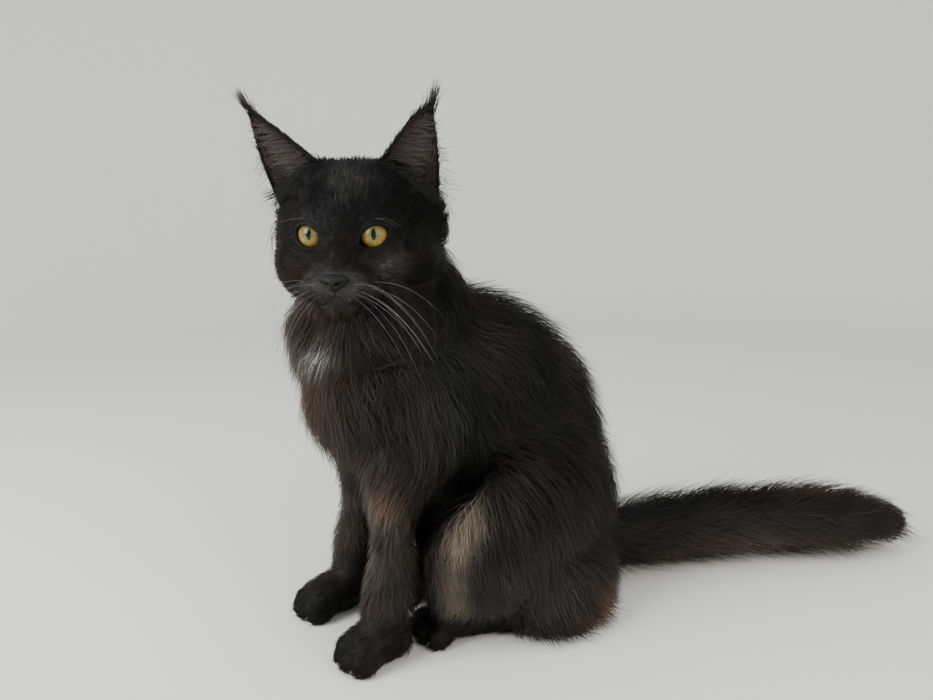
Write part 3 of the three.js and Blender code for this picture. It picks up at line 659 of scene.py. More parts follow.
# The skin shows only where the coat is thin: inside the ears, where it is bare and brownish pink, and between
# the short hairs of the face, where it is as dark as they are.
EAR_PINK = np.array([0.062, 0.040, 0.040])
skin_points = points_of(skin)
skin_colour = paint(skin_points) * 0.8
in_head = to_head(skin_points)
for ear_name in EARS:
    cup = cup_grid(ear_name, (0.02, 0.9, 24), (-0.85, 0.85, 18), -0.4 * EAR_THICK)
    near = np.flatnonzero(np.linalg.norm(in_head - cup.mean(0), axis=1) < 60)
    w = np.clip((2.2 - nearest(in_head[near], cup)) / 1.4, 0, 1)[:, None]
    skin_colour[near] = skin_colour[near] * (1 - w) + EAR_PINK * w
coloured(skin, skin_colour)
skin_look = Look("dark_skin", 0.60, Specular_IOR_Level=0.12)
skin_look.painted(skin_look.attribute("pelage"), skin_look.ranged(skin_look.noise(420, 4.0), 0.6, 1.4))
skin_look.bumped(skin_look.noise(1400, 3.0), 0.0004)
skin.data.materials.clear()
skin.data.polygons.foreach_set("material_index", np.zeros(len(skin.data.polygons), np.int32))
kept(skin, skin_look, [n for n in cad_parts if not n.startswith(("eye", "nose"))])

# The eyes: moist globes that fill the lids, with a yellow-green iris, darker at its rim, whose fibres run out
# from an upright oval pupil; its upper part is painted darker as the upper lid's shade. The clear cornea
# stands a little proud over it.
PUPIL = (1.6, 3.9)
IRIS = 9.9
CORNEA = 0.7
CORNEA_EDGE = 50
CAMERA = np.array([503.0, -178.5, 320.0])
IRIS_COLOURS = [
    (0.12, (0.065, 0.075, 0.026)), (0.34, (0.150, 0.136, 0.037)), (0.62, (0.235, 0.166, 0.036)),
    (0.80, (0.145, 0.090, 0.018)), (0.92, (0.03, 0.018, 0.006)), (1.0, (0.012, 0.006, 0.002)),
]


def eyeball(side_name, mirror):
    """Globe about the way the eye looks: radius + cornea cos^2 out to its edge, on rings of one angle. Each
    point keeps its place on the iris: across, up, and how far from the middle."""
    centre = from_head(EYE_AT * [mirror, 1, 1])
    ahead = unit(lid_outline(mirror)[1] @ HEAD_TURNED.T)
    gaze = unit(0.72 * ahead + 0.28 * unit(CAMERA - centre) + [0, 0, 0.13])
    across = unit(np.cross(gaze, [0, 0, 1.0]))
    up = np.cross(across, gaze)

    def globe(p, q):
        r = EYE_RADIUS + CORNEA * np.cos(fade(p, 0, np.radians(CORNEA_EDGE)) * np.pi / 2) ** 2
        flat = np.cos(q)[..., None] * across + np.sin(q)[..., None] * up
        return centre + r[..., None] * (np.cos(p)[..., None] * gaze + np.sin(p)[..., None] * flat)

    piece = turned_piece("eyeball_" + side_name, globe, np.linspace(0, np.pi, 66), 72)
    off = (points_of(piece) - centre) @ np.stack([across, up, gaze], axis=1)
    disc = np.where(off[:, 2] > 0, np.hypot(off[:, 0], off[:, 1]), EYE_RADIUS)
    place = piece.data.attributes.new("iris_place", "FLOAT_VECTOR", "POINT")
    values = np.stack([off[:, 0], off[:, 1], disc], axis=1)
    place.data.foreach_set("vector", values.astype(np.float32).ravel())
    piece.data.shade_smooth()
    return piece


def iris_look():
    """Fibres are noise over the direction round the pupil; colours run out from the pupil to the dark rim,
    and the upper part is painted darker as the shade of the upper lid.
    """
    look = Look("iris", 0.45, Specular_IOR_Level=0.0, Coat_Weight=0.9, Coat_Roughness=0.03, Coat_IOR=1.38)

    def maths(kind, *values):
        return look.node("Math", dict(enumerate(values)), operation=kind)

    split = look.node("SeparateXYZ", {0: look.attribute("iris_place", "Vector")}).node
    x, y, far = split.outputs
    spot = {0: maths("DIVIDE", x, far), 1: maths("DIVIDE", y, far), 2: maths("MULTIPLY", far, 0.05)}
    spot = look.node("CombineXYZ", spot)
    fibres = look.node("TexNoise", {"Vector": spot, "Scale": 9.0, "Detail": 5.0}, "Fac")
    wander = maths("MULTIPLY", maths("SUBTRACT", fibres, 0.5), 0.16)
    colour = look.ramp(maths("ADD", maths("DIVIDE", far, IRIS), wander), IRIS_COLOURS)
    reach = [maths("POWER", maths("ABSOLUTE", maths("DIVIDE", v, r)), 2.0) for v, r in zip((x, y), PUPIL)]
    outside = look.ranged(maths("ADD", *reach), 0.0, 1.0, (0.86, 1.12))
    streak = look.ranged(fibres, 0.45, 1.35, (0.3, 0.7))
    # painted shade: the iris darkened towards its top, as the upper lid's shadow
    painted_lid_shade = look.ranged(y, 1.0, 0.22, (0.5, 6.5))
    look.painted(colour, maths("MULTIPLY", maths("MULTIPLY", streak, painted_lid_shade), outside))
    return look


iris = iris_look()
for side_name, mirror in SIDES.items():
    kept(eyeball(side_name, mirror), iris, ["eye_" + side_name])

# The rims of the eyelids: hairless, black and moist, lying against the globe all round the opening.
RIM_RADIUS = 0.95
RIM_STAND = 0.75
rim_look = Look("eyelid_rim", 0.55, Specular_IOR_Level=0.08, Base_Color=(0.004, 0.0035, 0.0035, 1))
rim_look.bumped(rim_look.noise(1800, 2.0), 0.0002)


def ring_piece(name, centres, radius, normals, count=10):
    """Closed tube round a closed line: centre + radius (cos q outward + sin q beside it)."""
    along = unit(np.roll(centres, -1, axis=0) - np.roll(centres, 1, axis=0))
    beside = unit(np.cross(along, normals))
    outward = np.cross(beside, along)
    q = turns_of(count)[None, :, None]
    points = centres[:, None] + radius * (np.cos(q) * outward[:, None] + np.sin(q) * beside[:, None])
    return solid(name, points.reshape(-1, 3), ring_quads(len(centres), count, closed=True))


for side_name, mirror in SIDES.items():
    outline, gaze = lid_outline(mirror, 0.1, 36)
    rise = np.sqrt((EYE_RADIUS + RIM_STAND) ** 2 - np.sum(outline ** 2, axis=1))[:, None]
    on_globe = outline + gaze * rise
    centres = from_head(EYE_AT * [mirror, 1, 1] + on_globe)
    rim = ring_piece("eyelid_rim_" + side_name, centres, RIM_RADIUS, unit(on_globe) @ HEAD_TURNED.T)
    rim.data.shade_smooth()
    kept(rim, rim_look)

# The nose: a pad of bare, finely pebbled black leather, wide above and narrow below, with two comma-shaped
# nostrils and a groove down its middle. The nostrils and the groove are painted darker by their depth, and
# the creases between the pebbles are painted darker too: painted shade in the hollows.
NOSE = {"at": (0, -65.0, -21.2), "half": (14.6, 6.0, 6.0), "lean": 20.0}
NOSTRIL = {"aside": 0.58, "below": 0.24, "long": 0.34, "wide": 0.14, "deep": 0.45}
NOSE_SLIT = {"wide": 0.06, "deep": 0.10}
NOSE_GREY = np.array([0.0125, 0.0122, 0.0125])


def nose_point(p, q):
    """Ball whose width is 0.60 + 0.42 of its height, less a comma-shaped pit on either side, drawn out
    along the lower edge, and a slit down the front; and how deep in the pits and the slit each point is,
    which sets their painted shade."""
    x, z, y = np.sin(p) * np.cos(q), np.sin(p) * np.sin(q), -np.cos(p)
    front = np.clip(-y, 0, 1)
    aside, below = np.abs(x) - NOSTRIL["aside"], z + NOSTRIL["below"]
    drawn, wide = (0.8 * aside + 0.6 * below) / NOSTRIL["long"], (0.8 * below - 0.6 * aside) / NOSTRIL["wide"]
    pit = np.exp(-(drawn ** 2 + wide ** 2)) * front
    slit = np.exp(-((x / NOSE_SLIT["wide"]) ** 2)) * np.clip(-z + 0.25, 0, 1) * front
    size = 1 - NOSTRIL["deep"] * pit - NOSE_SLIT["deep"] * slit
    local = np.stack([x * (0.60 + 0.42 * z), y, z], axis=-1) * size[..., None] * NOSE["half"]
    return from_head(local @ about_x(-NOSE["lean"]).T + NOSE["at"]), np.maximum(pit, slit)


nose_rings, pit_shade = nose_point(*grid(np.linspace(0, np.pi, 62)[1:-1], turns_of(96)))
nose_ends = [nose_point(np.array([x]), np.zeros(1)) for x in (0.0, np.pi)]
nose = closed_piece("nose_leather", nose_rings, *(end[0] for end in nose_ends))
pit_shade = np.concatenate([nose_ends[0][1], pit_shade.ravel(), nose_ends[1][1]])[:, None]
# painted shade: the nostril pits and the slit down the front darkened by their depth
coloured(nose, NOSE_GREY * (1 - 0.93 * np.clip(1.6 * pit_shade, 0, 1)))
nose.data.shade_smooth()
nose_look = Look("nose_leather", 0.55, Specular_IOR_Level=0.12)
cells = {"Vector": nose_look.node("TexCoord", {}, "Object"), "Scale": 1500}
pebbles = nose_look.node("TexVoronoi", cells, "Distance")
# painted shade: the creases between the pebbles darkened
nose_look.painted(nose_look.attribute("pelage"), nose_look.ranged(pebbles, 1.3, 0.5))
nose_look.bumped(pebbles, -0.0002)
kept(nose, nose_look, ["nose"])

# The coat. A Maine Coon's hair is short and flat on the face and feet and long everywhere else, longest in
# the ruff, on the haunches and on the tail. It grows in fine tufts that lie along the body and lean on each
# other; each tuft is a thin three-sided blade of hair, rooted in the skin and bent along it to a point.
# For each limb: how the hair runs along it and droops, its lengths and its lifts from one end to the other.
LIE = {
    "trunk": (-1, 0.95, (46, 46, 46, 44, 44, 46), (19, 20, 21, 22, 21, 20)),
    "neck": (-1, 0.60, (50, 52, 48, 34), (21, 22, 24, 19)),
    "tail": (1, 0.05, (50, 56, 58, 60, 58, 44, 32), (20, 25, 25, 26, 25, 19, 14)),
    "foreleg": (1, 0.00, (40, 36, 24, 19, 18, 17, 16, 15), (15, 12, 8.5, 6.5, 6.0, 6.0, 5.5, 5.0)),
    "forepaw": (1, 0.00, (9, 7, 6), (2.4, 1.8, 1.4)),
    "thigh": (-0.30, 1.0, (44, 46, 44, 38, 28, 20), (16, 17, 16, 14, 11, 7)),
    "britch": (-0.60, 0.90, (36, 40, 42, 34), (11, 14, 15, 10)),
    "hindfoot": (1, 0.00, (14, 10, 8, 7), (3.4, 2.4, 1.8, 1.5)),
}
# Places of their own: where, which way, how wide, how long, how lifted, and whether on both sides.
EXTRA_LIE = [
    ((0, -24, 216), (0.0, 0.0, -1.0), 50, 48, 17, False),
    ((0, 2, 156), (0.0, 0.10, -1.0), 46, 50, 5, False),
    ((-30, -14, 240), (-0.2, -0.2, -1.0), 26, 48, 26, False),
    ((0, 222, 30), (0.0, 0.75, -0.6), 40, 42, 16, False),
    ((62, 202, 30), (0.2, 0.50, -0.8), 30, 38, 14, True),
    ((84, 160, 26), (0.45, 0.30, -0.8), 30, 44, 15, True),
    ((84, 62, 84), (-0.05, -0.20, -1.0), 22, 30, 9, True),
    ((74, 60, 40), (-0.1, -0.45, -0.8), 24, 15, 6, True),
    ((26, -22, 232), (-0.9, -0.35, -0.7), 34, 40, 22, False),
    ((-38, 46, 72), (0.0, 0.9, -0.8), 24, 29, 14, False),
    ((50, 36, 46), (0.1, 0.9, -0.7), 20, 22, 10, False),
    ((44, 72, 34), (0.0, -0.9, -0.1), 18, 20, 14, False),
    ((70, 78, 196), (0.15, 0.35, -1.0), 26, 42, 21, True),
    ((54, 54, 284), (0.2, 0.5, -0.8), 30, 44, 27, False),
    ((-40, -6, 268), (-0.3, -0.3, -1.0), 28, 44, 31, False),
]
# On the head: what the length and the lift are at the nose, and what is added for each millimetre away from
# it, on the crown's back, at the back, at its sides, low down there, under the chin, and on the forehead.
HEAD_LENGTHS = (3.6, 0.085, 0, 4.0, 10, 21, 6, 4)
HEAD_LIFTS = (1.1, 0.012, 4.5, 2.5, 5.0, 10.0, 1.5, 0)
NOSE_TIP = np.array([0.0, -66.0, -22.0])
SEED = 20


def lie_samples():
    """Places along every limb's line with the way the hair lies there, how wide the limb is, and the length
    and lift of its hair."""
    rows = []
    for name, tube in limbs.items():
        flow, droop, lengths, lifts = LIE[name.split("_")[0]]
        knots = np.linspace(0, 1, len(lengths))
        for stop in np.linspace(0, 1, 11):
            i = int(round(stop * (LINE_STOPS - 1)))
            way = unit(tube["along"][i] * flow + [0, 0, -droop])
            hair = [np.interp(stop, knots, lengths), np.interp(stop, knots, lifts)]
            rows.append([*tube["at"][i], *way, np.mean(tube["size"][i]) + 6, *hair])
    for at, way, wide, length, lift, both in EXTRA_LIE:
        for side in (1, -1) if both else (1,):
            mirror = np.array([side, 1, 1])
            rows.append([*(at * mirror), *unit(way * mirror), wide, length, lift])
    return np.array(rows, float)


SAMPLES = lie_samples()


def lie_of(points):
    """Way, length and lift of the hair at points of the body: the samples' mean, weighted by
    exp(-4 (distance / width)^2)."""
    far = np.linalg.norm(points[:, None] - SAMPLES[None, :, :3], axis=2) / SAMPLES[:, 6]
    weight = np.exp(-4 * (far ** 2 - np.min(far, axis=1, keepdims=True) ** 2))
    mean = weight @ SAMPLES[:, 3:] / weight.sum(axis=1, keepdims=True)
    return unit(mean[:, :3]), mean[:, 4], mean[:, 5]


def head_lie(points):
    """Way, length and lift of the hair on the head: away from the tip of the nose, then down over the jowls
    and back over the crown, and longer the further back it grows."""
    p = to_head(points)
    away = p - NOSE_TIP
    reach = np.linalg.norm(away, axis=1)
    back, side = back_and_side(p)
    low = fade(-p[:, 2], 14, 30) * back
    chin = fade(-p[:, 2], 34, 6)
    crown = fade(p[:, 2], 36, 16) * back
    way = unit(away) + (low + 0.8 * chin)[:, None] * [0, 0.2, -1.1] + (back * 0.5)[:, None] * [0, 1.0, -0.3]
    places = (np.ones(len(p)), reach, back * crown, back, side, low, chin, fade(p[:, 2], 14, 20))
    length, lift = (sum(k * v for k, v in zip(row, places)) for row in (HEAD_LENGTHS, HEAD_LIFTS))
    eye = np.minimum(*(np.linalg.norm(p - EYE_AT * [m, 1, 1], axis=1) for m in (1, -1)))
    length *= np.clip((eye - 8) / 20, 0.30, 1)
    return unit(way) @ HEAD_TURNED.T, length, lift


def skin_arrays():
    """The skin's points and outward directions in the sitting cat's millimetres, its triangles, and each
    triangle's middle and area."""
    mesh = skin.data
    mesh.calc_loop_triangles()
    corners = np.empty(len(mesh.loop_triangles) * 3, np.int32)
    mesh.loop_triangles.foreach_get("vertices", corners)
    corners = corners.reshape(-1, 3)
    outward = np.empty(len(mesh.vertices) * 3, np.float32)
    mesh.vertex_normals.foreach_get("vector", outward)
    points = points_of(skin)
    a, b, c = (points[corners[:, k]] for k in range(3))
    area = np.linalg.norm(np.cross(b - a, c - a), axis=1) / 2
    return points, outward.reshape(-1, 3).astype(float), corners, (a + b + c) / 3, area


SKIN_POINTS, SKIN_OUT, SKIN_CORNERS, SKIN_MIDDLE, SKIN_AREA = skin_arrays()


def body_map():
    """Which limb each of the skin's triangles belongs to: the ears and the head by their own surfaces, the
    rest by the limb whose line is nearest for its width, mixed a little where two meet. The walls of the
    lids' openings and of the mouth are bare."""
    names = list(limbs)
    chance = np.random.default_rng(SEED + 1)
    best = np.full(len(SKIN_MIDDLE), 9.0)
    owner = np.zeros(len(SKIN_MIDDLE), int)
    for k, tube in enumerate(limbs.values()):
        mixed = 1 + 0.05 * chance.normal(size=len(SKIN_MIDDLE))
        for i in range(0, LINE_STOPS, 8):
            far = np.linalg.norm(SKIN_MIDDLE - tube["at"][i], axis=1) / (np.mean(tube["size"][i]) + 4) * mixed
            owner[far < best] = k
            best = np.minimum(best, far)
    p = to_head(SKIN_MIDDLE)
    deep, high = head_distance(p), SKIN_MIDDLE[:, 2] > 230
    on_head = np.abs(deep) < 1.2
    owner[on_head & high] = len(names)
    for k, ear_name in enumerate(EARS):
        cup = cup_grid(ear_name, (0.0, 1.0, 36), (-1, 1, 22))
        near = np.flatnonzero((np.linalg.norm(p - cup.mean(0), axis=1) < 62) & ~on_head)
        owner[near[nearest(p[near], cup) < 3.0]] = len(names) + 1 + k
    owner[(deep < -1.2) & high] = len(names) + 3
    return [*names, "head", "ear_left", "ear_right", "bare"], owner


REGIONS, OWNER = body_map()


def of_regions(*starts):
    """Whether each triangle of the skin belongs to a region with one of these names."""
    return np.isin(OWNER, [k for k, name in enumerate(REGIONS) if name.startswith(starts)])


def roots_on(mask, count):
    """So many places spread evenly over the skin's triangles in the mask, with their outward directions."""
    share = SKIN_AREA * mask
    pick = np.searchsorted(np.cumsum(share) / share.sum(), draw.random(count))
    pick = np.minimum(pick, len(share) - 1)
    a, b = draw.random((2, count))
    over = a + b > 1
    a[over], b[over] = 1 - a[over], 1 - b[over]
    w = np.stack([1 - a - b, a, b], axis=1)[..., None]
    return (SKIN_POINTS[SKIN_CORNERS[pick]] * w).sum(1), unit((SKIN_OUT[SKIN_CORNERS[pick]] * w).sum(1)), pick


def on_skin(points):
    """The skin's nearest point to each point, and its outward direction there, by shrink-wrapping them."""
    mesh = bpy.data.meshes.new("feelers")
    mesh.vertices.add(len(points))
    mesh.vertices.foreach_set("co", seat(points).astype(np.float32).ravel())
    feelers = linked("feelers", mesh)
    wrap = feelers.modifiers.new("wrap", "SHRINKWRAP")
    wrap.target = skin
    wrap.wrap_mode = "ABOVE_SURFACE"
    found = []
    for lift in (0.0, 0.004):
        wrap.offset = lift
        view = bpy.context.evaluated_depsgraph_get()
        view.update()
        found.append(points_of(feelers.evaluated_get(view)))
    bpy.data.objects.remove(feelers)
    bpy.data.meshes.remove(mesh)
    return found[0], unit(found[1] - found[0])


def head_disc(p, size):
    """Direction from the middle of the head, laid flat on a disc round the muzzle's axis."""
    ray = unit(p - HEAD_CENTRE)
    tilt = np.arccos(np.clip(ray @ MUZZLE_AXIS, -1, 1)) / np.pi
    turn = np.arctan2(ray @ MUZZLE_UP, ray[:, 0])
    return 0.5 + size * tilt[:, None] * np.stack([np.cos(turn), np.sin(turn)], axis=1)


def unwrapped(points, pick):
    """Each root's place on the skin laid flat: for a limb, its angle round the line across and its stop along
    the line upward; for the head and ears, its direction on a disc. Regions stand side by side."""
    place = np.zeros((len(points), 2))
    regions = np.unique(OWNER[pick])
    for shelf, k in enumerate(regions):
        here = OWNER[pick] == k
        p = points[here]
        if REGIONS[k] in limbs:
            tube = limbs[REGIONS[k]]
            i = np.argmin(np.linalg.norm(p[:, None] - tube["at"][None, ::4], axis=2), axis=1) * 4
            along = tube["along"][i]
            off = p - tube["at"][i]
            out = unit(tube["reference"] - along * (along @ tube["reference"])[:, None])
            angle = np.arctan2(dot(off, out), dot(off, np.cross(out, along)))
            stop = (tube["stops"][i] + dot(off, along) / tube["length"] + 0.4) / 1.8
            place[here] = np.stack([angle / 2 / np.pi + 0.5, stop], axis=1)
        else:
            place[here] = head_disc(to_head(p), 0.5)
        place[here, 0] = (np.clip(place[here, 0], 0, 1) + shelf) / len(regions)
    return 0.004 + 0.988 * np.clip(place, 0, 1)


PATCH = 0.003
OWN_SHEEN = 0.25


def blades(name, path, outward, width, thick, roll, colour, place):
    """Tufts as three-sided blades: path holds each tuft's stops from root to tip, colour the colour there. At
    every stop but the last stands a triangle, flat below and ridged above; the last stop is the tip. Light
    meets the hairs of a tuft at all angles, so its normals are mostly those of the coat it lies in."""
    n, stops = path.shape[:2]
    rings = stops - 1
    along = unit(np.diff(path, axis=1)[:, np.maximum(np.arange(rings) - 1, 0)] + np.diff(path, axis=1))
    side = unit(np.cross(along, outward[:, :rings]))
    up = np.cross(side, along)
    c, s = np.cos(roll)[:, None, None], np.sin(roll)[:, None, None]
    side, up = side * c + up * s, up * c - side * s
    swell = np.interp(np.arange(rings) / rings, (0, 0.45, 1), (0.62, 1.0, 0.5))[None, :, None]
    w, t = width[:, None, None] * swell / 2, thick[:, None, None] * swell
    line = path[:, :-1]
    corners = [line + side * w - up * t / 3, line + up * t * 2 / 3, line - side * w - up * t / 3]
    ring = np.stack(corners, axis=2)
    points = np.concatenate([ring.reshape(n, rings * 3, 3), path[:, -1:]], axis=1)
    points[..., 2] = np.maximum(points[..., 2], 0.3 + 0.2 * np.arange(rings * 3 + 1) % 3)
    each = rings * 3 + 1
    k = np.arange(rings - 1)[:, None] * 3
    j, j2 = np.arange(3)[None], (np.arange(3)[None] + 1) % 3
    walls = np.stack([k + j2, k + j, k + 3 + j2, k + 3 + j2, k + j, k + 3 + j], axis=-1).reshape(-1, 3)
    last = (rings - 1) * 3
    cone = np.stack([last + j2[0], last + j[0], np.full(3, each - 1)], axis=1)
    template = np.vstack([[[0, 1, 2]], walls, cone])
    faces = (template[None] + (np.arange(n) * each)[:, None, None]).reshape(-1, 3).astype(np.int32)
    mesh = bpy.data.meshes.new(name)
    mesh.vertices.add(n * each)
    mesh.vertices.foreach_set("co", seat(points.reshape(-1, 3)).astype(np.float32).ravel())
    mesh.loops.add(faces.size)
    mesh.loops.foreach_set("vertex_index", faces.ravel())
    mesh.polygons.add(len(faces))
    mesh.polygons.foreach_set("loop_start", np.arange(0, faces.size, 3, dtype=np.int32))
    flat = np.stack([np.tile([0, 0.5, 1], rings), np.repeat(np.arange(rings) / rings, 3)], axis=1)
    flat = np.vstack([flat, [[0.5, 1]]]) * PATCH
    uv = (place[:, None] + flat[None]).reshape(-1, 2)[faces.ravel()]
    mesh.uv_layers.new(name="OFBake").data.foreach_set("uv", uv.astype(np.float32).ravel())
    mesh.update(calc_edges=True)
    mesh.validate()
    mesh.shade_smooth()
    piece = linked(name, mesh)
    coloured(piece, colour[:, np.append(np.repeat(np.arange(rings), 3), rings)].reshape(-1, 3))
    own = np.concatenate([unit(ring - line[:, :, None]).reshape(n, -1, 3), along[:, -1:]], axis=1)
    soft = outward[:, np.append(np.repeat(np.arange(rings), 3), rings - 1)] + OWN_SHEEN * own
    mesh.normals_split_custom_set_from_vertices(unit(soft).reshape(-1, 3).tolist())
    return piece


def hair_look(name, roughness, shine, cells, low, high):
    """Hair by its own colour, with a fine unevenness from low to high."""
    look = Look(name, roughness, Specular_IOR_Level=shine)
    look.painted(look.attribute("pelage"), look.ranged(look.noise(cells), low, high))
    return look


fur_look = hair_look("long_hair", 0.50, 0.14, 700, 0.72, 1.28)
short_look = hair_look("short_hair", 0.60, 0.06, 900, 0.65, 1.35)
HANG_BELOW = 70.0
CHEST_HEM = (24.0, 170.0)
BLADE_THICK = 0.4
ROOT_DEEP = 1.2
STRAY = {"share": 0.05, "lift": 1.30, "width": 0.55}


def coat_piece(
    name, mask, count, spread, lie=lie_of, stops=(0.48, 1.0), clump=8.0, gather=0.08,
    width=(0.26, 0.0065), vary=(0.22, 0.05), pale=0.02, look=fur_look, trim=None,
):
    """Tufts over part of the skin. Each path travels over the skin along the lie of the coat, or hangs on
    where the skin turns under near the floor and the chest's hem, and rises as lift (1.7 s - 0.7 s^2). Tufts
    near each other share some of their bearing, length and tone, and draw together a little to their tips."""
    roots, outward, pick = roots_on(mask, count)
    if trim is not None:
        keep = trim(roots)
        roots, outward, pick = roots[keep], outward[keep], pick[keep]
    n = len(roots)
    way, length, lift = lie(roots)
    centres = roots[draw.choice(n, max(8, int(SKIN_AREA[mask].sum() / clump ** 2)), replace=False)]
    m = len(centres)
    parts = np.array_split(roots, 12)
    owner = [np.argmin(np.linalg.norm(p[:, None] - centres[None], axis=2), axis=1) for p in parts]
    owner = np.concatenate(owner)
    length = length * draw.uniform(0.66, 1.15, n) * draw.uniform(0.90, 1.10, m)[owner]
    lift = lift * draw.uniform(0.34, 1.15, n) * draw.uniform(0.88, 1.10, m)[owner]
    stray = draw.random(n) < STRAY["share"]
    lift[stray] *= STRAY["lift"]
    bearing = 0.45 * draw.normal(size=m)[owner] + 0.8 * draw.normal(size=n) + 1.3 * drift(roots, 70, 7)
    bearing = np.radians(spread) * bearing
    wave = draw.uniform(-0.05, 0.05, n) * length
    pull = centres[owner] - roots
    pull *= np.minimum(1, 1.4 * clump / np.maximum(np.linalg.norm(pull, axis=1, keepdims=True), 1e-6))
    at, out, before = roots, outward, 0.0
    path, normals = [roots - outward * ROOT_DEEP], [outward]
    for s in stops:
        flat = unit(way - out * dot(way, out)[:, None])
        beside = np.cross(out, flat)
        heading = flat * np.cos(bearing)[:, None] + beside * np.sin(bearing)[:, None]
        ahead = at + heading * (length * (s - before))[:, None]
        on, turned = on_skin(ahead)
        edge = (at[:, 2] < HANG_BELOW) | ((at[:, 1] < CHEST_HEM[0]) & (at[:, 2] < CHEST_HEM[1]))
        hangs = ((turned[:, 2] < -0.35) & (out[:, 2] > -0.6) & edge)[:, None]
        at, out = np.where(hangs, ahead, on), np.where(hangs, out, turned)
        high = lift * (1.7 * s - 0.7 * s * s) + 0.15
        drawn = (pull - out * dot(pull, out)[:, None]) * (gather * s ** 1.4)
        path.append(at + out * high[:, None] + drawn + beside * (wave * np.sin(np.pi * s))[:, None])
        normals.append(out)
        way = lie(at)[0]
        before = s
    path, normals = np.stack(path, axis=1), np.stack(normals, axis=1)
    tone = np.exp(draw.normal(size=n) * vary[0]) * np.exp(draw.normal(size=m) * vary[1])[owner]
    along_hair = np.array([0.0, *stops])[None, :, None]
    colour = paint(path.reshape(-1, 3)).reshape(path.shape) * tone[:, None, None] * (0.90 + 0.22 * along_hair)
    light = draw.random(n) < pale
    colour[light] = colour[light] * 1.8 + 0.012 * along_hair
    wide = (width[0] + width[1] * length) * draw.uniform(0.75, 1.25, n)
    wide[stray] *= STRAY["width"]
    roll = draw.normal(size=n) * 0.3
    piece = blades(name, path, normals, wide, wide * BLADE_THICK, roll, colour, unwrapped(roots, pick))
    return kept(piece, look)


draw = np.random.default_rng(SEED)
trunk, rear = of_regions("trunk"), SKIN_MIDDLE[:, 1] > 100
coat_piece("coat_back", trunk & rear, 15000, 12)
coat_piece("coat_shoulders", trunk & ~rear, 15000, 12)
coat_piece("coat_ruff", of_regions("neck"), 17500, 13)
coat_piece("coat_haunch_left", of_regions("thigh_left", "britch_left"), 18000, 10)
coat_piece("coat_haunch_right", of_regions("thigh_right", "britch_right"), 13000, 10)
coat_piece("coat_tail", of_regions("tail"), 14000, 8)
coat_piece(
    "coat_forelegs", of_regions("foreleg"), 12000, 8,
    stops=(0.45, 1.0), clump=5.0, gather=0.22, width=(0.34, 0.009), vary=(0.30, 0.14), pale=0.05,
)
coat_piece(
    "coat_feet", of_regions("forepaw", "hindfoot"), 8500, 8,
    stops=(0.5, 1.0), clump=4.0, gather=0.2, width=(0.42, 0.03), look=short_look,
)


def off_the_face(points):
    """Whether a root keeps clear of the eyes, the nose leather and the line of the mouth."""
    p = to_head(points)
    clear = np.ones(len(p), bool)
    for mirror in (1, -1):
        outline, gaze = lid_outline(mirror, 1.1, 24)
        off = p - EYE_AT * [mirror, 1, 1]
        across = np.array([-gaze[1], gaze[0], 0])
        flat = np.stack([off @ across, off[:, 2]], axis=1)
        a = np.stack([outline @ across, outline[:, 2]], axis=1)
        b = np.roll(a, -1, axis=0)
        edge, reach = b - a, flat[:, None] - a
        cross = edge[:, 0] * reach[..., 1] - edge[:, 1] * reach[..., 0]
        within = np.all(cross * np.sign(cross.sum(axis=1, keepdims=True)) > 0, axis=1)
        clear &= ~(within & ((off @ gaze) > 2))
    on_nose = np.linalg.norm((p - NOSE["at"]) / (np.array(NOSE["half"]) + [0.4, 3.0, 0.6]), axis=1) < 1
    at_lips = (p[:, 1] < MOUTH["behind"]) & (np.abs(p[:, 0]) < MOUTH["half_span"])
    return clear & ~on_nose & ~(at_lips & (np.abs(p[:, 2] - mouth_line(p[:, 0])) < 0.7))


head_mask = of_regions("head")
face = to_head(SKIN_MIDDLE)[:, 1] < -12
coat_piece(
    "coat_face", head_mask & face, 17000, 9, head_lie, trim=off_the_face,
    stops=(0.5, 1.0), clump=5.0, gather=0.15, width=(0.30, 0.020), vary=(0.30, 0.28), look=short_look,
)
coat_piece(
    "coat_crown", head_mask & ~face, 11000, 9, head_lie,
    stops=(0.45, 1.0), clump=6.0, gather=0.12, width=(0.28, 0.011), vary=(0.28, 0.20), look=short_look,
)


# The ears' own hair: short and flat on their backs, a fringe along their edges, long wisps that sweep out
# across the cup from its inner edge, and a lynx-like tuft at each tip.
def ear_lie(points):
    """Way, length and lift of the hair on the ears' backs: up to the tip."""
    left = to_head(points)[:, :1] > 0
    way = np.where(left, ear_frame("left")[4], ear_frame("right")[4]) + [0, 6.0, 0]
    return unit(way) @ HEAD_TURNED.T, np.full(len(points), 6.5), np.full(len(points), 1.5)


def behind_ear(points):
    """Whether a root is on the back of the ear or close to its edge or tip."""
    p = to_head(points)
    keep = np.zeros(len(p), bool)
    for ear_name, side in SIDES.items():
        inner, outer = (cup_grid(ear_name, (-0.1, 1.0, 32), (-1, 1, 26), w * EAR_THICK) for w in (-0.5, 0.5))
        here = np.flatnonzero(p[:, 0] * side > 0)
        keep[here] = nearest(p[here], outer) < nearest(p[here], inner) + 0.2
    return keep


coat_piece(
    "coat_ears", of_regions("ear"), 5000, 8, ear_lie, trim=behind_ear,
    stops=(0.5, 1.0), clump=4.0, gather=0.2, width=(0.42, 0.02),
)
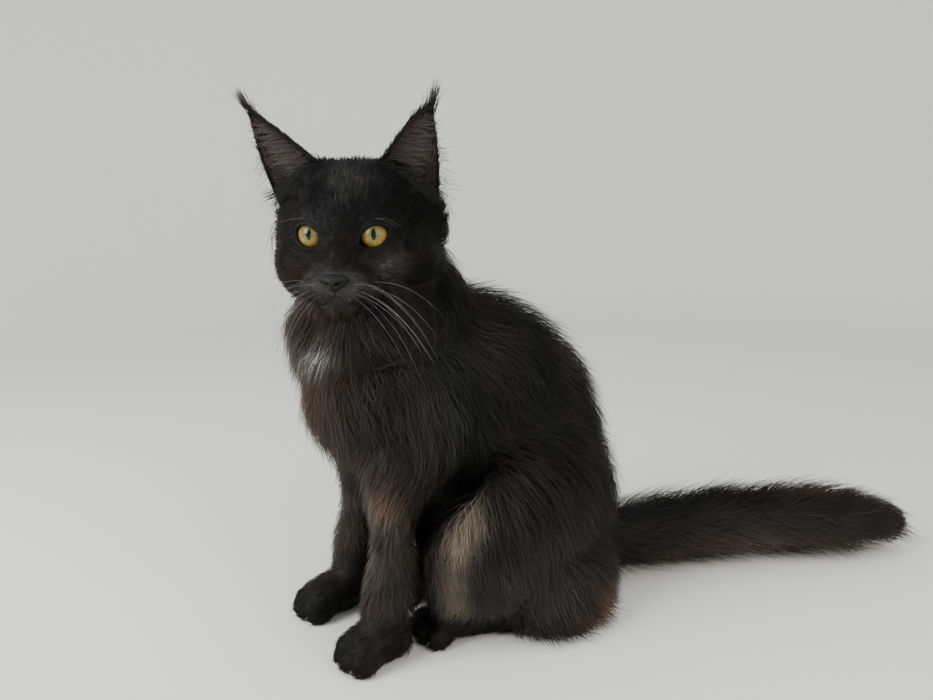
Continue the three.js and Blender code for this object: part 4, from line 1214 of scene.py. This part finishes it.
# Loose hairs of an ear: how many, from where along the cup and across it, how far off it, their way by the
# parts across, up and back, their length, how that shrinks up the ear, their bend by the same parts, and
# their width. Two numbers in brackets are the ends of a chance value.
EAR_WISPS = [
    (230, (0.0, 0.78), (-0.97, -0.72), -0.6, (0.95, (0.05, 0.5), (-0.10, -0.45)), (10, 36), (1.05, 0.6),
     (0, (-3, 6), 4.0), (0.22, 0.42)),
    (90, (-0.05, 0.72), (0.90, 1.0), 0.0, (0.9, (-0.25, 0.45), (0.3, -0.4)), (8, 24), (1.1, 1.0),
     (0, (-2, 3), 0), (0.12, 0.22)),
    (70, (0.86, 1.0), (-1, 1), 0.0, ((-0.20, 0.10), 1, (-0.12, 0.12)), (9, 23), (1.0, 0.0),
     ((-4.0, 1.0), 0, 0), (0.3, 0.5)),
]


WISP_THICK = 0.8


def wisps(name, starts, ways, lengths, bends, widths, colour, tip_colour, outward, stops=6):
    """Free hairs as blades along start + way length s + bend s^2, with s from root to tip."""
    s = np.linspace(0, 1, stops)[None, :, None]
    path = starts[:, None] + ways[:, None] * lengths[:, None, None] * s + bends[:, None] * s * s
    n = len(starts)
    normals = np.repeat(outward[:, None], stops, axis=1)
    place = np.clip(head_disc(to_head(starts), 0.48), 0.004, 0.99)
    colours = np.repeat(np.array(colour) * (1 - s) + np.array(tip_colour) * s, n, axis=0)
    piece = blades(name, path, normals, widths, widths * WISP_THICK, np.zeros(n), colours, place)
    return kept(piece, fur_look)


def between(ends, shape):
    """Chance values from the first end to the second."""
    return ends[0] + (ends[1] - ends[0]) * draw.random(shape)


def blend(parts, axes, n):
    """The axes' sum, each times its part: a number, or chance values between two."""
    amounts = [between(part, (n, 1)) if isinstance(part, tuple) else part for part in parts]
    return sum(axis * amount for axis, amount in zip(axes, amounts))


def ear_hair(name, parts, root_colour, tip_colour):
    """The collected hairs of both ears as one piece."""
    start, way, length, bend, wide, outward = (np.concatenate(column) for column in zip(*parts))
    turned = [v @ HEAD_TURNED.T for v in (way, bend, outward)]
    wisps(name, from_head(start), turned[0], length, turned[1], wide, root_colour, tip_colour, turned[2])


ear_wisps, ear_fringe, ear_tufts = [], [], []
for ear_name in EARS:
    _, _, _, span, rise, back = ear_frame(ear_name)
    axes = (unit(span), unit(rise), back)
    for n, along, over, off, ways, length, shrink, bends, wide in EAR_WISPS:
        v = between(along, n)
        root = ear_point(ear_name, between(over, n), v, off)
        way = unit(blend(ways, axes, n))
        length = between(length, n) * (shrink[0] - shrink[1] * v)
        bend, wide = blend(bends, axes, n), between(wide, n)
        ear_wisps.append((root, way, length, bend, wide, np.tile(-back, (n, 1))))
ear_hair("ear_wisps", ear_wisps, [0.034, 0.026, 0.026], [0.080, 0.066, 0.064])
for ear_name in EARS:
    a, b, _, span, rise, back = ear_frame(ear_name)
    across, up = unit(span), unit(rise)
    n = 420
    v = draw.uniform(-0.05, 0.99, n)
    over = draw.uniform(-1.0, -0.86, n) + 1.2 * np.clip(v - 0.84, 0, 1) * draw.random(n)
    lean = draw.uniform(-0.05, 0.30, (n, 1)) - 0.25 * np.clip(v[:, None] - 0.55, 0, 1)
    way = unit(up + across * lean - back * draw.uniform(0.0, 0.25, (n, 1)))
    length, bend = draw.uniform(6, 12, n), across * draw.uniform(-1, 2, (n, 1))
    wide = draw.uniform(0.35, 0.6, n)
    ear_fringe.append((ear_point(ear_name, over, v, -0.5), way, length, bend, wide, np.tile(-back, (n, 1))))
    n = 330
    s = draw.random(n) ** 1.3
    root = a + (b - a) * (0.75 * s)[:, None] + [0, -4.5, 1.5] + draw.normal(size=(n, 3)) * [1.5, 1.2, 1.5]
    way = across * draw.uniform(0.5, 1.0, (n, 1)) + up * draw.uniform(0.05, 0.6, (n, 1)) + [0, -0.35, 0]
    length, bend = draw.uniform(12, 25, n), draw.uniform(-7, -1, (n, 1)) * up
    wide = draw.uniform(0.3, 0.55, n)
    ear_tufts.append((root, unit(way), length, bend, wide, np.tile(-back, (n, 1))))
ear_hair("ear_fringe", ear_fringe, [0.0045, 0.0042, 0.0042], [0.010, 0.009, 0.009])
ear_hair("ear_tufts", ear_tufts, [0.006, 0.0058, 0.0058], [0.013, 0.0126, 0.0126])

# The whiskers: stiff white hairs in rows on the pads beside the nose, that stand out to the sides and droop
# in long arcs, with two finer ones over each eye.
WHISKER = {"width": 0.13, "length": (42, 66), "out": 12.5, "front": -64.0, "top": -22.5, "apart": 3.4}
BROW_HAIR = {"width": 0.055, "length": (24, 36), "out": 19, "front": -40.0, "high": 17.5}
draw = np.random.default_rng(SEED + 2)
whisker_hairs = []
for mirror in (1, -1):
    row, column = (v.ravel() for v in grid(np.arange(4), np.arange(3)))
    n = len(row)
    across = WHISKER["apart"] * column
    out = (WHISKER["out"] + across + draw.uniform(-0.5, 0.5, n)) * mirror
    root = np.stack([out, WHISKER["front"] + across, WHISKER["top"] - 2.8 * row + 0.2 * column], axis=1)
    way = np.stack([np.full(n, 1.0) * mirror, -0.15 + 0.13 * column, 0.12 - 0.26 * row], axis=1)
    way = unit(way + draw.normal(size=(n, 3)) * 0.11)
    long = draw.uniform(*WHISKER["length"], n) * (0.80 + 0.10 * column)
    bend = np.stack([np.full(n, -6.0) * mirror, draw.uniform(4, 14, n), -draw.uniform(18, 44, n)], axis=1)
    whisker_hairs.append((root, way, long, bend, np.full(n, WHISKER["width"])))
    n = 2
    out = (BROW_HAIR["out"] + 4.0 * np.arange(n)) * mirror
    root = np.stack([out, np.full(n, BROW_HAIR["front"]), np.full(n, BROW_HAIR["high"])], axis=1)
    way = unit(np.tile([0.75 * mirror, -0.95, 0.35], (n, 1)) + draw.normal(size=(n, 3)) * 0.08)
    bend = np.tile([9.0 * mirror, 3.0, -12.0], (n, 1))
    long = draw.uniform(*BROW_HAIR["length"], n)
    whisker_hairs.append((root, way, long, bend, np.full(n, BROW_HAIR["width"])))
start, way, length, bend, wide = (np.concatenate(column) for column in zip(*whisker_hairs))
turned = [v @ HEAD_TURNED.T for v in (way, bend)]
upright = np.tile([0, 0, 1.0], (len(start), 1))
wisps(
    "whiskers", from_head(start), turned[0], length, turned[1], wide,
    [0.30, 0.30, 0.29], [0.26, 0.26, 0.25], upright, 12,
)

# The claws: curved horn hooks drawn back into the toes, so that only their points show.
CLAW = {"radius": 1.5, "high": 9.0, "reach": 6.5, "drop": 5.5, "inset": 3.6}
claw_look = Look("claw_horn", 0.3, Specular_IOR_Level=0.5)
horn = [(0.0, (0.07, 0.055, 0.042)), (1.0, (0.22, 0.19, 0.155))]
claw_look.painted(claw_look.ramp(claw_look.noise(600, 2.0), horn))


def claw(x, y):
    """Hook: a circle of radius r (1 - s)^0.8 carried along an arc that bends down by s^2."""
    s, q = grid(np.linspace(0, 0.94, 9), turns_of(10))
    centre = np.stack([x + 0 * s, y - CLAW["reach"] * s, CLAW["high"] - CLAW["drop"] * s * s], axis=-1)
    r = CLAW["radius"] * (1 - s) ** 0.8
    rings = centre + np.stack([0.62 * r * np.cos(q), 0.5 * r * np.sin(q), r * np.sin(q)], axis=-1)
    tip = np.array([x, y - CLAW["reach"], CLAW["high"] - CLAW["drop"]])
    return closed_piece("claw", rings, np.array([x, y, CLAW["high"]]), tip)


claws = joined([claw(x, y - TOE["size"][1] + CLAW["inset"]) for x, y in toe_places])
claws.name = "claws"
claws.data.shade_smooth()
kept(claws, claw_look)

# The camera stands where the photographer stood: to the cat's left front, a little above its head.
CAMERA_TURN = 60.0
CAMERA_DIP = 10.0
FOCAL_PIXELS = 720.0
PHOTO_WIDE = 933
camera = linked("camera", bpy.data.cameras.new("camera"))
camera.location = seat(CAMERA)
camera.rotation_euler = (np.radians(90 - CAMERA_DIP), 0, np.radians(CAMERA_TURN))
camera.data.sensor_width = 36
camera.data.lens = 36 * FOCAL_PIXELS / PHOTO_WIDE
camera.data.clip_start = 0.01
bpy.context.scene.camera = camera

# A plain pale floor that turns up into a wall all round, with soft window light from the camera's left and a
# weaker one from its right.
ROOM = {"flat": 1.7, "bend": 0.7, "wall": 1.6, "around": 96}
bend = np.radians(np.linspace(0, 90, 16))
profile = np.vstack([
    [[0.01, 0], [0.3, 0], [0.8, 0], [1.3, 0]],
    np.stack([ROOM["flat"] + ROOM["bend"] * np.sin(bend), ROOM["bend"] * (1 - np.cos(bend))], axis=1),
    [[ROOM["flat"] + ROOM["bend"], ROOM["bend"] + ROOM["wall"]]],
])
n = ROOM["around"]
q = turns_of(n)
flat, high = profile[:, :1], np.repeat(profile[:, 1:], n, axis=1)
lathe = np.stack([flat * np.cos(q), flat * np.sin(q), high], axis=-1)
faces = [list(range(n)), *(face[::-1] for face in ring_quads(len(profile), n))]
mesh = bpy.data.meshes.new("studio_floor")
mesh.from_pydata(lathe.reshape(-1, 3).tolist(), [], faces)
mesh.shade_smooth()
studio = linked("studio_floor", mesh)
floor_look = Look("pale_floor", 0.85, Specular_IOR_Level=0.1, Base_Color=(0.84, 0.835, 0.80, 1))
mesh.materials.append(floor_look.material)


def soft_light(name, place, aim, size, watts, colour):
    """A square area light at a place, turned towards what it lights."""
    lamp = bpy.data.lights.new(name, "AREA")
    lamp.size = size
    lamp.energy = watts
    lamp.color = colour
    facing = unit(np.array(aim, float) - np.array(place, float))
    beside = unit(np.cross(facing, [0, 0, 1.0]))
    turned = Matrix(np.stack([beside, np.cross(beside, facing), -facing], axis=1).tolist()).to_4x4()
    turned.translation = seat(np.array(place, float)).tolist()
    linked(name, lamp).matrix_world = turned


soft_light("window", (60, -1350, 1050), (20, 60, 200), size=0.9, watts=34, colour=(0.97, 0.99, 1.0))
soft_light("room", (1300, 250, 900), (20, 80, 180), size=1.2, watts=12, colour=(1.0, 0.98, 0.95))
world = bpy.data.worlds.new("pale_room")
world.use_nodes = True
world.node_tree.nodes["Background"].inputs["Color"].default_value = (0.80, 0.82, 0.84, 1)
world.node_tree.nodes["Background"].inputs["Strength"].default_value = 1.0
bpy.context.scene.world = world
